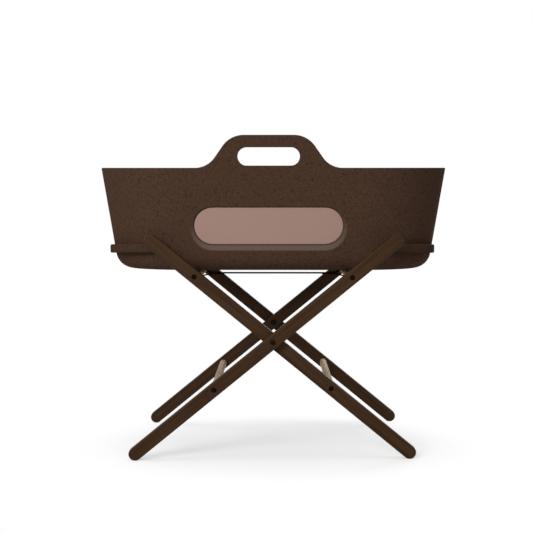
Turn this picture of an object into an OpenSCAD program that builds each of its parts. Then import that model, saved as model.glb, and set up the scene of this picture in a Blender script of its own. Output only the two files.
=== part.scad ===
// Folding cross-leg stand in dark wood that carries a felt moses basket.
// +X runs along the basket, +Y away from the front, +Z up, and the floor is at Z = 0.

/* [Legs] */
// Width of a leg across its face
leg_w = 30; // [27:0.5:32]
// Thickness of a leg
leg_t = 22; // [20:0.5:25]
// Rounding along the long edges of a leg
leg_edge_r = 3; // [1:0.5:5]
// Slope of the opened legs above the floor, in degrees
leg_angle = 39.25; // [37:0.25:42]
// Distance from the cross pivot to the centre of the round foot
foot_reach = 404; // [385:1:430]
// Distance from the cross pivot to the centre of the round tip
tip_reach = 360; // [345:1:375]
// Depth of the flat that a foot stands on
foot_flat = 0.5; // [0.3:0.1:1]
// Clear width between the inner faces of the two inner legs
stand_inner = 400; // [380:1:430]

/* [Rails] */
// Diameter of a rail
rail_d = 18; // [16:0.5:20]
// Distance of the upper rails from the cross pivot
upper_rail_at = 231; // [220:0.5:245]
// Distance of the lower rails from the cross pivot
lower_rail_at = 172; // [160:0.5:185]
// Depth of the socket in a leg that a rail end sits in
rail_socket = 5; // [3:0.5:6]
// Diameter of the threaded sleeve in a rail end
insert_d = 10; // [9:0.5:11]
// Length of the threaded sleeve
insert_len = 24; // [18:1:30]
// Diameter of a rail bolt's shank
rail_bolt_d = 6; // [5:0.5:7]
// Diameter of a rail bolt's head
rail_head_d = 10.5; // [9.5:0.5:11.5]
// Height of a rail bolt's head
rail_head_h = 4.2; // [3:0.2:5]
// Gap round a rail bolt's head in its recess
head_gap = 0.75; // [0.5:0.05:1.5]
// How far a rail bolt's head lies below the face of the leg
head_sink = 0.8; // [0.2:0.1:1.5]
// Width across the flats of the hexagon socket in a rail bolt
rail_key = 4; // [3:0.5:5]

/* [Cross pivots] */
// Diameter of a pivot bolt's shank
pivot_d = 8; // [7:0.5:9]
// Diameter of a pivot bolt's head
pivot_head_d = 13; // [12:0.5:15]
// Height of a pivot bolt's head
pivot_head_h = 4; // [3:0.5:5]
// Width across the flats of the hexagon socket in a pivot bolt
pivot_key = 5; // [4:0.5:6]
// Depth of the hexagon sockets
key_depth = 2; // [1.5:0.1:2.5]
// Diameter of a pivot washer
pivot_washer_d = 22; // [18:0.5:25]
// Thickness of a pivot washer
pivot_washer_t = 1.9; // [1.5:0.1:3]
// Diameter of a cap nut
pivot_nut_d = 14; // [12:0.5:16]
// Height of a cap nut
pivot_nut_h = 6; // [5:0.5:8]
// Height of a cap nut's straight side
pivot_nut_side = 4.3; // [3:0.1:4.8]

/* [Support strap] */
// Width of the strap
strap_w = 38; // [25:1:50]
// Thickness of the webbing
strap_t = 2; // [1.2:0.1:2.4]
// How far the strap runs below the middle of the rails
strap_drop = 3.6; // [0:0.1:5]
// Length of the doubled webbing beside each rail
strap_lap = 58; // [40:1:80]

/* [Felt basket] */
// Length over the rim
rim_len = 841; // [820:1:880]
// Height of the rim at the sides, above the basket's bottom
rim_h = 235; // [210:1:250]
// How much higher the rim stands at the ends than at the sides
rim_end_rise = 8.5; // [4:0.5:12]
// Outward lean of the walls, in degrees
flare = 9.55; // [8:0.05:11]
// Thickness of the felt
felt_t = 6; // [4.5:0.5:8]
// Outside radius between the walls and the bottom
bottom_r = 42; // [36:1:50]
// Gap between the walls and the inner legs, at the leg tips
side_gap = 7.5; // [5:0.5:12]

/* [Grips] */
// Distance of the grips and windows from the middle, towards the head end
head_shift = 9.5; // [0:0.5:15]
// Height of the front grip above the rim
front_rise = 73.5; // [70:0.5:85]
// Width of the flat top of the front grip
front_top_w = 113; // [100:1:135]
// Height of the rear grip above the rim
rear_rise = 102; // [95:0.5:110]
// Width of the flat top of the rear grip
rear_top_w = 115; // [100:1:122]
// Width of the front hand-hole
front_hole_w = 141; // [120:1:150]
// Height of the front hand-hole
front_hole_h = 41; // [35:0.5:46]
// Height of the rim under the front hand-hole
front_hole_sill = 5; // [3:0.5:8]
// Width of the rear hand-hole
rear_hole_w = 182; // [150:1:190]
// Height of the rear hand-hole
rear_hole_h = 55; // [45:0.5:58]
// Height of the rim under the rear hand-hole
rear_hole_sill = 21; // [15:0.5:24]
// Lean of a grip's flanks from upright, in degrees
grip_lean = 35.3; // [32:0.1:40]
// Radius of a grip's shoulders
shoulder_r = 59; // [50:1:62]
// Radius where a grip runs into the rim
grip_foot_r = 55; // [45:1:57]

/* [Windows] */
// Distance from a window to the round end, at the head end
window_end = 20.7; // [18:0.1:40]
// Height of the window opening
window_h = 86.5; // [70:0.5:90]
// Height of the window's middle above the basket's bottom
window_at = 103; // [98:0.5:110]
// Width of the bevel under the window
bevel_low = 13; // [8:0.5:16]
// Width of the bevel above the window
bevel_top = 2; // [1:0.5:4]
// Width of the bevel at each side of the window
bevel_side = 8; // [5:0.5:10]
// Border of the mesh behind the felt
mesh_border = 9; // [6:0.5:12]
// Thickness of the mesh
mesh_t = 1.4; // [1:0.1:2]

/* [End ledges] */
// How far a ledge stands out from the wall at the end
ledge_end_out = 5.4; // [4:0.1:9]
// How far a ledge stands out from the wall at the sides
ledge_side_out = 4; // [3:0.1:8]
// Corner radius of the ledges
ledge_r = 140; // [110:1:160]
// Height of a ledge
ledge_h = 19.5; // [15:0.5:24]
// Height of a ledge's underside above the basket's bottom, at the end
ledge_at = 36; // [32:0.5:40]
// How much higher a ledge lies at the sides than at the end
ledge_rise = 7; // [2:0.5:9]
// Distance from the start of the round end to where a ledge starts
ledge_lead = 60; // [50:1:75]

/* [Lining] */
// Thickness of the liner
liner_t = 3; // [2:0.5:4]
// Distance of the liner's top edge below the rim
liner_drop = 12; // [8:1:20]
// Thickness of the base board
board_t = 4; // [3:0.5:6]
// How far the mattress edge lies inside the foot of the walls
mattress_in = 18.3; // [17:0.1:30]
// Height of the mattress at its edge
mattress_h = 45; // [35:1:55]
// Extra height of the mattress in its middle
mattress_crown = 6; // [3:0.5:10]
// Rounding of the mattress edges
mattress_r = 14; // [12:0.5:16]

/* [Hidden] */
$fn = 96;
// Fits and working clearances
run_fit = 0.05;
seat_fit = 0.1;
rest_gap = 0.3;
loop_gap = 0.4;
ledge_gap = 0.2;
board_gap = 1;
mesh_gap = 1;
bolt_end_gap = 1;
over = 1;
// How far the arcs at a grip's feet run on below the rim line
foot_sink = 0.5;

// Stand
pivot_gap = pivot_washer_t + seat_fit;
inner_y = stand_inner / 2 + leg_t / 2;
outer_y = inner_y + leg_t + pivot_gap;
pivot_z = foot_reach * sin(leg_angle) + leg_w / 2 - foot_flat;
upper_x = upper_rail_at * cos(leg_angle);
upper_z = pivot_z + upper_rail_at * sin(leg_angle);
tip_top_z = pivot_z + tip_reach * sin(leg_angle) + leg_w / 2;
rail_from = -outer_y + leg_t / 2 - rail_socket;
rail_to = inner_y - leg_t / 2 + rail_socket;
rail_len = rail_to - rail_from;
head_recess_d = rail_head_d + 2 * head_gap;
head_recess = rail_head_h + head_sink;
bolt_len = leg_t - head_recess - rail_socket + insert_len - bolt_end_gap;

// Strap
loop_r = rail_d / 2 + loop_gap;
strap_z = upper_z - strap_drop;

// Basket
basket_z = upper_z + loop_r + strap_t + rest_gap;
base_r = stand_inner / 2 - side_gap - (tip_top_z - basket_z) * tan(flare);
rim_r = base_r + rim_h * tan(flare);
end_x = rim_len / 2 - rim_r - rim_end_rise * tan(flare);
bend_r = base_r + bottom_r * tan(flare) - bottom_r / cos(flare);
tall_h = rim_h + max(front_rise, rear_rise) + 2 * over;
liner_off = felt_t + rest_gap;
inside_off = liner_off + liner_t;
board_z = basket_z + inside_off;
window_w = 2 * (end_x - head_shift - window_end);
board_r = bend_r - board_gap;
mattress_z = board_z + board_t + rest_gap;
mattress_w = 2 * (base_r - mattress_in);
ledge_len = 2 * (end_x + base_r + ledge_at * tan(flare) + ledge_end_out);
ledge_w = 2 * (base_r + (ledge_at + ledge_rise) * tan(flare) + ledge_side_out);
ledge_start = end_x + ledge_lead;

// Half the section of a leg, from its middle line outwards
module half_section() {
    translate([0, -leg_t / 2]) square([leg_w / 2 - leg_edge_r, leg_t]);
    translate([0, -leg_t / 2 + leg_edge_r]) square([leg_w / 2, leg_t - 2 * leg_edge_r]);
    for (s = [-1, 1]) translate([leg_w / 2 - leg_edge_r, s * (leg_t / 2 - leg_edge_r)]) circle(leg_edge_r);
}

// A cylinder along Y, from y to y + length
module y_rod(d, y, length) {
    translate([0, y + length, 0]) rotate([90, 0, 0]) cylinder(d = d, h = length);
}

// The blank of a leg along X, with the cross pivot at the origin
module leg_blank() {
    translate([-foot_reach, 0, 0]) rotate([90, 0, 90]) linear_extrude(foot_reach + tip_reach) {
        rotate(90) half_section();
        rotate(-90) half_section();
    }
    translate([tip_reach, 0, 0]) rotate([90, 0, 0]) rotate(-90) rotate_extrude(angle = 180) half_section();
    translate([-foot_reach, 0, 0]) rotate([90, 0, 0]) rotate(90) rotate_extrude(angle = 180) half_section();
}

// One leg with its bores; out is the side of the bolt heads, -1 for the front and 1 for the rear
module leg(out) {
    difference() {
        leg_blank();
        y_rod(pivot_d + 2 * run_fit, -leg_t / 2 - over, leg_t + 2 * over);
        for (x = [upper_rail_at, -lower_rail_at]) translate([x, 0, 0]) {
            y_rod(rail_bolt_d + 2 * seat_fit, -leg_t / 2 - over, leg_t + 2 * over);
            translate([0, out * (leg_t / 2 - head_recess / 2 + over / 2), 0])
                y_rod(head_recess_d, -(head_recess + over) / 2, head_recess + over);
            translate([0, -out * (leg_t / 2 - rail_socket / 2 + over / 2), 0])
                y_rod(rail_d + 2 * seat_fit, -(rail_socket + over) / 2, rail_socket + over);
        }
    }
}

// Moves a piece from the leg's own line to its slope in the opened stand
module on_slope() {
    translate([0, 0, pivot_z]) rotate([0, -leg_angle, 0]) children();
}

// A leg in place, cut flat where it stands on the floor
module standing_leg(y, out) {
    difference() {
        on_slope() translate([0, y, 0]) leg(out);
        translate([-foot_reach - leg_w, y - leg_t, -leg_w]) cube([foot_reach + leg_w, 2 * leg_t, leg_w]);
    }
}

// Turns a piece of frame A into its twin in frame B
module twin() {
    rotate(180) children();
}

// A rail with the bores for its two sleeves
module rail(at) {
    on_slope() translate([at, 0, 0]) difference() {
        y_rod(rail_d, rail_from, rail_len);
        for (y = [rail_from - over, rail_to - insert_len])
            y_rod(insert_d + 2 * seat_fit, y, insert_len + over);
    }
}

// A button head with a hexagon socket, its seat at the origin and its shank along +Z
module button_bolt(head_d, head_h, key, shank_d, shank_len) {
    dome_r = (head_d * head_d / 4 + head_h * head_h) / (2 * head_h);
    difference() {
        intersection() {
            translate([0, 0, dome_r - head_h]) sphere(dome_r);
            translate([0, 0, -head_h]) cylinder(d = head_d, h = head_h);
        }
        translate([0, 0, -head_h - over]) cylinder(d = key / cos(30), h = key_depth + over, $fn = 6);
    }
    cylinder(d = shank_d, h = shank_len);
}

// The four bolts of one frame's rails
module frame_bolts() {
    for (at = [upper_rail_at, -lower_rail_at]) on_slope() translate([at, 0, 0]) {
        translate([0, -outer_y - leg_t / 2 + head_recess, 0]) rotate([-90, 0, 0])
            button_bolt(rail_head_d, rail_head_h, rail_key, rail_bolt_d, bolt_len);
        translate([0, inner_y + leg_t / 2 - head_recess, 0]) rotate([90, 0, 0])
            button_bolt(rail_head_d, rail_head_h, rail_key, rail_bolt_d, bolt_len);
    }
}

// The four threaded sleeves of one frame's rails
module frame_inserts() {
    for (at = [upper_rail_at, -lower_rail_at], y = [rail_from, rail_to - insert_len])
        on_slope() translate([at, 0, 0]) difference() {
            y_rod(insert_d, y, insert_len);
            y_rod(rail_bolt_d + 2 * seat_fit, y - over, insert_len + 2 * over);
        }
}

// The front cross pivot: bolt, washer and cap nut
module pivot_bolt() {
    shank_len = 2 * leg_t + pivot_gap + pivot_nut_h / 2;
    translate([0, -outer_y - leg_t / 2, pivot_z]) rotate([-90, 0, 0])
        button_bolt(pivot_head_d, pivot_head_h, pivot_key, pivot_d, shank_len);
}

module pivot_washer() {
    translate([0, 0, pivot_z]) difference() {
        y_rod(pivot_washer_d, -outer_y + leg_t / 2, pivot_washer_t);
        y_rod(pivot_d + 2 * run_fit, -outer_y, leg_t);
    }
}

module pivot_nut() {
    nut_y = -inner_y + leg_t / 2 + seat_fit;
    translate([0, 0, pivot_z]) difference() {
        intersection() {
            y_rod(pivot_nut_d, nut_y, pivot_nut_h);
            translate([0, nut_y, 0]) sphere(norm([pivot_nut_d / 2, pivot_nut_side]));
        }
        y_rod(pivot_d + 2 * run_fit, nut_y - over, pivot_nut_h / 2 + over);
    }
}

// The strap's edge-on outline: a loop round each upper rail, the span and the sewn laps
module strap_outline() {
    difference() {
        union() {
            for (s = [-1, 1]) translate([s * upper_x, upper_z]) circle(loop_r + strap_t);
            translate([-upper_x, strap_z - strap_t / 2]) square([2 * upper_x, strap_t]);
            for (s = [-1, 1]) translate([s * (upper_x - strap_lap / 2), strap_z - strap_t])
                square([strap_lap, strap_t], center = true);
        }
        for (s = [-1, 1]) translate([s * upper_x, upper_z]) circle(loop_r);
    }
}

// Half the section of the basket, moved in by off from the outside, up to height top
module tub_section(off, top) {
    lean_x = bend_r + (bottom_r - off) * cos(flare);
    lean_y = bottom_r - (bottom_r - off) * sin(flare);
    top_x = base_r + top * tan(flare) - off / cos(flare);
    polygon([[0, off], [bend_r, off], [lean_x, lean_y], [top_x, top], [0, top]]);
    translate([bend_r, bottom_r]) intersection() {
        circle(bottom_r - off);
        translate([0, -bottom_r]) square([bottom_r, bottom_r]);
    }
}

// Sweeps half a section round the basket's plan, with straight sides and round ends
module round_plan() {
    for (s = [0, 180]) rotate(s) {
        rotate([90, 0, 90]) linear_extrude(end_x) {
            children();
            mirror([1, 0]) children();
        }
        translate([end_x, 0, 0]) rotate(-90) rotate_extrude(angle = 180) children();
    }
}

// The basket's solid body, moved in by off
module tub(off, top) {
    round_plan() tub_section(off, top);
}

// Outline of a grip above the rim line, with arcs at its shoulders and feet
module grip_outline(rise, top_w) {
    turn = 90 - grip_lean;
    shoulder_x = top_w / 2 + shoulder_r * sin(turn);
    shoulder_y = rise - shoulder_r * (1 - cos(turn));
    foot_y = grip_foot_r * (1 - cos(turn)) - foot_sink;
    foot_x = shoulder_x + (shoulder_y - foot_y) * tan(grip_lean);
    end_w = foot_x + grip_foot_r * sin(turn);
    difference() {
        union() {
            polygon([
                [-end_w, -rise], [end_w, -rise], [end_w, -foot_sink], [foot_x, foot_y], [shoulder_x, shoulder_y],
                [top_w / 2, rise], [-top_w / 2, rise], [-shoulder_x, shoulder_y], [-foot_x, foot_y],
                [-end_w, -foot_sink]
            ]);
            for (s = [-1, 1]) translate([s * top_w / 2, rise - shoulder_r]) circle(shoulder_r);
        }
        for (s = [-1, 1]) translate([s * end_w, grip_foot_r - foot_sink]) circle(grip_foot_r);
    }
}

// A slot with round ends, centred on the origin
module slot(w, h) {
    square([w - h, h], center = true);
    for (s = [-1, 1]) translate([s * (w - h) / 2, 0]) circle(h / 2);
}

// The space that a grip fills, seen from the front; side is -1 for the front and 1 for the rear
module through_side(side) {
    translate([-head_shift, side < 0 ? 0 : 2 * rim_r, rim_h]) rotate([90, 0, 0])
        linear_extrude(2 * rim_r) children();
}

// The space under the rim, which stands higher at the ends
module under_rim() {
    reach = 2 * rim_r;
    drop = reach * rim_end_rise / rim_r;
    ridge = rim_h + rim_end_rise;
    rotate([90, 0, 90]) linear_extrude(rim_len + 2 * reach, center = true)
        polygon([[-reach, -over], [reach, -over], [reach, ridge - drop], [0, ridge], [-reach, ridge - drop]]);
}

// Moves a window piece onto the outside of the wall, with +Y into the basket
module on_wall(side) {
    mirror([0, side < 0 ? 0 : 1, 0])
        translate([-head_shift, -base_r - window_at * tan(flare), window_at]) rotate([flare, 0, 0]) children();
}

// A window outline as a plate from y to y + thickness, moved up by rise
module window_plate(w, h, rise, y, thickness) {
    translate([0, y + thickness, rise]) rotate([90, 0, 0]) linear_extrude(thickness) slot(w, h);
}

// A slice of the bevelled window opening; share is 1 at the outside of the felt and 0 at the inside
module bevel_slice(share, y) {
    window_plate(window_w + 2 * bevel_side * share, window_h + (bevel_low + bevel_top) * share,
        (bevel_top - bevel_low) / 2 * share, y, over, $fn = 64);
}

// The bevelled window opening, carried on beyond both faces of the felt
module window_cut() {
    beyond = over / felt_t;
    hull() {
        bevel_slice(1 + beyond, -2 * over);
        bevel_slice(-beyond, felt_t + over);
    }
}

module felt_tub() {
    difference() {
        intersection() {
            difference() {
                tub(0, tall_h);
                tub(felt_t, tall_h + over);
            }
            union() {
                under_rim();
                through_side(-1) grip_outline(front_rise, front_top_w);
                through_side(1) grip_outline(rear_rise, rear_top_w);
            }
        }
        through_side(-1) translate([0, front_hole_sill + front_hole_h / 2]) slot(front_hole_w, front_hole_h);
        through_side(1) translate([0, rear_hole_sill + rear_hole_h / 2]) slot(rear_hole_w, rear_hole_h);
        for (side = [-1, 1]) on_wall(side) window_cut();
    }
}

// The ledge round the right end, between two sloping planes
module end_ledge() {
    tilt = 2 * ledge_rise / ledge_w;
    reach = ledge_w;
    difference() {
        intersection() {
            linear_extrude(rim_h) {
                square([ledge_len, ledge_w - 2 * ledge_r], center = true);
                square([ledge_len - 2 * ledge_r, ledge_w], center = true);
                for (x = [-1, 1], y = [-1, 1])
                    translate([x * (ledge_len / 2 - ledge_r), y * (ledge_w / 2 - ledge_r)]) circle(ledge_r);
            }
            translate([ledge_start, 0, ledge_at]) rotate([90, 0, 90]) linear_extrude(ledge_len)
                polygon([
                    [-reach, reach * tilt], [0, 0], [reach, reach * tilt],
                    [reach, reach * tilt + ledge_h], [0, ledge_h], [-reach, reach * tilt + ledge_h]
                ]);
        }
        tub(-ledge_gap, rim_h + over);
    }
}

module window_mesh(side) {
    on_wall(side) window_plate(window_w + 2 * mesh_border, window_h + 2 * mesh_border, 0, felt_t, mesh_t);
}

module lining() {
    border = 2 * (mesh_border + mesh_gap);
    difference() {
        tub(liner_off, rim_h - liner_drop);
        tub(inside_off, rim_h);
        for (side = [-1, 1]) on_wall(side)
            window_plate(window_w + border, window_h + border, 0, felt_t, inside_off - felt_t + over);
    }
}

// A flat plate with round ends
module stadium_plate(r, thickness) {
    linear_extrude(thickness) slot(2 * (end_x + r), 2 * r);
}

// Half the section of the mattress, with round edges and a crowned top
module pad_section() {
    half = mattress_w / 2;
    flat = half - mattress_r;
    crown_r = (flat * flat + mattress_crown * mattress_crown) / (2 * mattress_crown);
    square([flat, mattress_h]);
    translate([0, mattress_r]) square([half, mattress_h - 2 * mattress_r]);
    for (y = [mattress_r, mattress_h - mattress_r]) translate([flat, y]) circle(mattress_r);
    intersection() {
        translate([0, mattress_h + mattress_crown - crown_r]) circle(crown_r, $fn = 360);
        square([flat, mattress_h + mattress_crown]);
    }
}

// Places a basket piece on the upper rails
module on_rails() {
    translate([0, 0, basket_z]) children();
}

module leg_a_front() { color("#47331f") standing_leg(-outer_y, -1); }
module leg_a_rear() { color("#47331f") standing_leg(inner_y, 1); }
module leg_b_front() { color("#47331f") twin() standing_leg(inner_y, 1); }
module leg_b_rear() { color("#47331f") twin() standing_leg(-outer_y, -1); }
module upper_rail_a() { color("#b89b7c") rail(upper_rail_at); }
module lower_rail_a() { color("#b89b7c") rail(-lower_rail_at); }
module upper_rail_b() { color("#b89b7c") twin() rail(upper_rail_at); }
module lower_rail_b() { color("#b89b7c") twin() rail(-lower_rail_at); }
module rail_bolts_a() { color("#1c1815") frame_bolts(); }
module rail_bolts_b() { color("#1c1815") twin() frame_bolts(); }
module rail_inserts_a() { color("#b0a070") frame_inserts(); }
module rail_inserts_b() { color("#b0a070") twin() frame_inserts(); }
module pivot_bolt_front() { color("#1c1815") pivot_bolt(); }
module pivot_bolt_rear() { color("#1c1815") twin() pivot_bolt(); }
module pivot_washer_front() { color("#2a2622") pivot_washer(); }
module pivot_washer_rear() { color("#2a2622") twin() pivot_washer(); }
module pivot_nut_front() { color("#1c1815") pivot_nut(); }
module pivot_nut_rear() { color("#1c1815") twin() pivot_nut(); }
module support_strap() {
    color("#2c231c") translate([0, strap_w / 2, 0]) rotate([90, 0, 0]) linear_extrude(strap_w) strap_outline();
}
module felt_shell() { color("#48362a") on_rails() felt_tub(); }
module end_ledge_left() { color("#48362a") on_rails() rotate(180) end_ledge(); }
module end_ledge_right() { color("#48362a") on_rails() end_ledge(); }
module window_mesh_front() { color("#9c8075") on_rails() window_mesh(-1); }
module window_mesh_rear() { color("#9c8075") on_rails() window_mesh(1); }
module base_board() { color("#8a7356") translate([0, 0, board_z]) stadium_plate(board_r, board_t); }
module liner() { color("#a68a7e") on_rails() lining(); }
module mattress() { color("#ece5d8") translate([0, 0, mattress_z]) round_plan() pad_section(); }

leg_a_front();
leg_a_rear();
leg_b_front();
leg_b_rear();
upper_rail_a();
lower_rail_a();
upper_rail_b();
lower_rail_b();
rail_bolts_a();
rail_bolts_b();
rail_inserts_a();
rail_inserts_b();
pivot_bolt_front();
pivot_bolt_rear();
pivot_washer_front();
pivot_washer_rear();
pivot_nut_front();
pivot_nut_rear();
support_strap();
felt_shell();
end_ledge_left();
end_ledge_right();
window_mesh_front();
window_mesh_rear();
base_board();
liner();
mattress();
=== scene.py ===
"""Dresses a folding cross-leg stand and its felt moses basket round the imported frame."""

import logging
import math
from dataclasses import dataclass, field
from enum import Enum
from typing import Callable, Iterable, Sequence

import bmesh
import bpy
import numpy as np
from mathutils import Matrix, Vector
from mathutils.bvhtree import BVHTree
from mathutils.geometry import delaunay_2d_cdt


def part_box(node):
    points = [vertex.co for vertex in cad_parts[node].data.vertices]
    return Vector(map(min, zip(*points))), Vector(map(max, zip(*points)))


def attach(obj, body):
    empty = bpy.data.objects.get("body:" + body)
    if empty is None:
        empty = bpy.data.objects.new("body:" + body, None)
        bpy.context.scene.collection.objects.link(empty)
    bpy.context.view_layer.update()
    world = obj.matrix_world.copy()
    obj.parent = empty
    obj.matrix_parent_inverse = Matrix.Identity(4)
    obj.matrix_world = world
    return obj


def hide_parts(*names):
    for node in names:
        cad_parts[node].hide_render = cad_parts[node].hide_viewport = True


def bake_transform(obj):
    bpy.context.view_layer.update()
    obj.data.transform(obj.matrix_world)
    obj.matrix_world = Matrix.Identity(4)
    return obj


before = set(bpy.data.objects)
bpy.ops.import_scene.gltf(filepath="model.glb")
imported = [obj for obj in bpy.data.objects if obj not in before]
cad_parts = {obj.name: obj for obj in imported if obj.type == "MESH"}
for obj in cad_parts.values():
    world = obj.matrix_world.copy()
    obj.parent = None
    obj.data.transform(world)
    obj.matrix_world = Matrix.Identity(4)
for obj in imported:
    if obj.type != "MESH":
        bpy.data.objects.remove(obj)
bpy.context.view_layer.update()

MM = 0.001
TINY = 1e-9
QUARTER = math.pi / 2
LEG_SLOPE = math.radians(39.25)
WHITE = (1.0, 1.0, 1.0)
UP = Vector((0.0, 0.0, 1.0))
LOG = logging.getLogger("moses_basket")

Pair = tuple[float, float]
Triple = tuple[float, float, float]
Rgb = tuple[float, float, float]
Numbers = np.ndarray | float
Material = bpy.types.Material
Piece = bpy.types.Object
Socket = bpy.types.NodeSocket
Feed = Socket | float | tuple


class Side(Enum):
    """The long sides of the basket, by the sign of their Y."""

    FRONT = -1
    REAR = 1


class End(Enum):
    """The round ends of the basket, by the sign of their X."""

    HEAD = -1
    FOOT = 1


class Grain(Enum):
    """The way that wood fibres run, as a turn that brings them onto X."""

    LEG_A = (0.0, LEG_SLOPE, 0.0)
    LEG_B = (0.0, -LEG_SLOPE, 0.0)
    RAIL = (0.0, 0.0, -QUARTER)


class Axis(Enum):
    """An axis of a piece's own coordinates."""

    X = "X"
    Y = "Y"
    Z = "Z"


class Sum(Enum):
    """A sum of two values in a node tree."""

    ADD = "ADD"
    SUBTRACT = "SUBTRACT"
    MULTIPLY = "MULTIPLY"
    MAXIMUM = "MAXIMUM"


class Face(Enum):
    """The faces of a layer, by their place in the section of its edge."""

    OUTER = 0
    INNER = -1


class Stretch(Enum):
    """The stretches of strap that leave a rail's loop, by the side that they touch."""

    UPPER = 1
    LOWER = -1


class NodeBench:
    """Lays out the nodes of a material or of the sky."""

    # Sockets of the Mix node when it mixes colours.
    MIX_SHARE, MIX_FIRST, MIX_SECOND, MIX_RESULT = 0, 6, 7, 2
    # Radians that the wave texture turns through in a metre at scale 1.
    WAVE_TURN = 20.0

    def __init__(self, tree: bpy.types.NodeTree) -> None:
        """Takes the tree to work on."""
        self.tree = tree

    def feed(self, target: Socket, value: Feed) -> None:
        """Links a socket to another, or sets its value.

        Args:
            target: The input socket.
            value: An output socket, a number, a vector or a colour without alpha.
        """
        if isinstance(value, bpy.types.NodeSocket):
            self.tree.links.new(value, target)
        elif target.type == "RGBA":
            target.default_value = (*value, 1.0)
        else:
            target.default_value = value

    def add(
            self, kind: str, inputs: dict[str | int, Feed] | None = None,
            **settings: object) -> bpy.types.Node:
        """Adds a node.

        Args:
            kind: The node's type, without its ShaderNode prefix.
            inputs: What its input sockets get, by their names or numbers.
            settings: Properties of the node.

        Returns:
            The new node.
        """
        node = self.tree.nodes.new("ShaderNode" + kind)
        for key, value in settings.items():
            setattr(node, key, value)
        for key, value in (inputs or {}).items():
            self.feed(node.inputs[key], value)
        return node

    def place(self, turn: Triple = (0, 0, 0), stretch: Triple = (1, 1, 1)) -> Socket:
        """Gives the piece's own coordinates, turned and then stretched.

        Args:
            turn: Rotation about X, Y and Z, in radians.
            stretch: Factors along the turned X, Y and Z.

        Returns:
            The vector socket.
        """
        own = self.add("TexCoord").outputs["Object"]
        turned = self.add("Mapping", {"Vector": own, "Rotation": turn}).outputs["Vector"]
        return self.add("Mapping", {"Vector": turned, "Scale": stretch}).outputs["Vector"]

    def noise(
            self, vector: Socket, per_unit: float, detail: float, rough: float,
            warp: float = 0.0) -> Socket:
        """Adds a noise texture.

        Args:
            vector: Where the noise is read.
            per_unit: Features per unit of the vector.
            detail: Number of octaves.
            rough: Weight of the finer octaves.
            warp: Distortion of the noise.

        Returns:
            The noise's value, about 0.5 on average.
        """
        node = self.add("TexNoise", {
            "Vector": vector, "Scale": per_unit, "Detail": detail, "Roughness": rough,
            "Distortion": warp})
        return node.outputs[0]

    def bands(self, vector: Socket, pitch: float, axis: Axis, warp: float = 0.0) -> Socket:
        """Adds even bands, such as the yarns of a weave.

        Args:
            vector: Where the bands are read, in metres.
            pitch: Distance from band to band, in metres.
            axis: The axis that they follow each other along.
            warp: Distortion of the bands.

        Returns:
            A value from 0 to 1.
        """
        scale = 2 * math.pi / (self.WAVE_TURN * pitch)
        node = self.add(
            "TexWave", {"Vector": vector, "Scale": scale, "Distortion": warp},
            wave_type="BANDS", bands_direction=axis.value, wave_profile="SIN")
        return node.outputs["Fac"]

    def ramp(self, value: Socket, stops: dict[float, Rgb]) -> Socket:
        """Turns a value into a colour.

        Args:
            value: The value that picks the colour.
            stops: Colours at places from 0 to 1.

        Returns:
            The colour.
        """
        node = self.add("ValToRGB", {"Fac": value})
        elements = node.color_ramp.elements
        while len(elements) < len(stops):
            elements.new(0.5)
        for element, (place, colour) in zip(elements, stops.items()):
            element.position = place
            element.color = (*colour, 1.0)
        return node.outputs["Color"]

    def level(
            self, value: Socket, low: float, high: float, start: float = 0.0,
            end: float = 1.0) -> Socket:
        """Maps a value from low..high to start..end and keeps it there.

        Args:
            value: The value to map.
            low: The value that gives start.
            high: The value that gives end.
            start: Result at low.
            end: Result at high.

        Returns:
            The mapped value.
        """
        node = self.add("MapRange", {
            "Value": value, "From Min": low, "From Max": high, "To Min": start, "To Max": end})
        return node.outputs["Result"]

    def sum(self, kind: Sum, first: Feed, second: Feed) -> Socket:
        """Adds a sum of two values."""
        return self.add("Math", {0: first, 1: second}, operation=kind.value).outputs[0]

    def mix(self, share: Feed, first: Feed, second: Feed) -> Socket:
        """Mixes two colours: a share of 0 gives the first and 1 the second."""
        inputs = {self.MIX_SHARE: share, self.MIX_FIRST: first, self.MIX_SECOND: second}
        return self.add("Mix", inputs, data_type="RGBA").outputs[self.MIX_RESULT]

    def mark(self, name: str) -> Socket:
        """Gives a number that the mesh stores on its points."""
        return self.add("Attribute", attribute_name=name).outputs["Fac"]

    def seen(self) -> Socket:
        """Tells which rays show the background: direct, reflected or through glass.

        Returns:
            1 for those rays and 0 for the others.
        """
        rays = self.add("LightPath").outputs
        shown = self.sum(Sum.MAXIMUM, rays["Is Camera Ray"], rays["Is Glossy Ray"])
        return self.sum(Sum.MAXIMUM, shown, rays["Is Transmission Ray"])


class MaterialBench(NodeBench):
    """Lays out the nodes of one material."""

    def __init__(self, name: str, **sockets: float | Rgb) -> None:
        """Starts a material.

        Args:
            name: The material's name.
            sockets: Values of the shader's own sockets, with _ for a space.
        """
        self.material = bpy.data.materials.new(name)
        self.material.use_nodes = True
        super().__init__(self.material.node_tree)
        self.shader = self.tree.nodes["Principled BSDF"]
        for key, value in sockets.items():
            self.shade(key.replace("_", " "), value)

    def shade(self, socket: str, value: Feed) -> None:
        """Gives one of the shader's sockets a link or a value."""
        self.feed(self.shader.inputs[socket], value)

    def relief(self, height: Socket, strength: float, depth: float) -> None:
        """Roughens the surface by a relief from 0 to 1, inwards where the strength is below 0."""
        bump = self.add("Bump", {"Height": height, "Strength": strength, "Distance": depth})
        self.shade("Normal", bump.outputs["Normal"])


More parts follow.
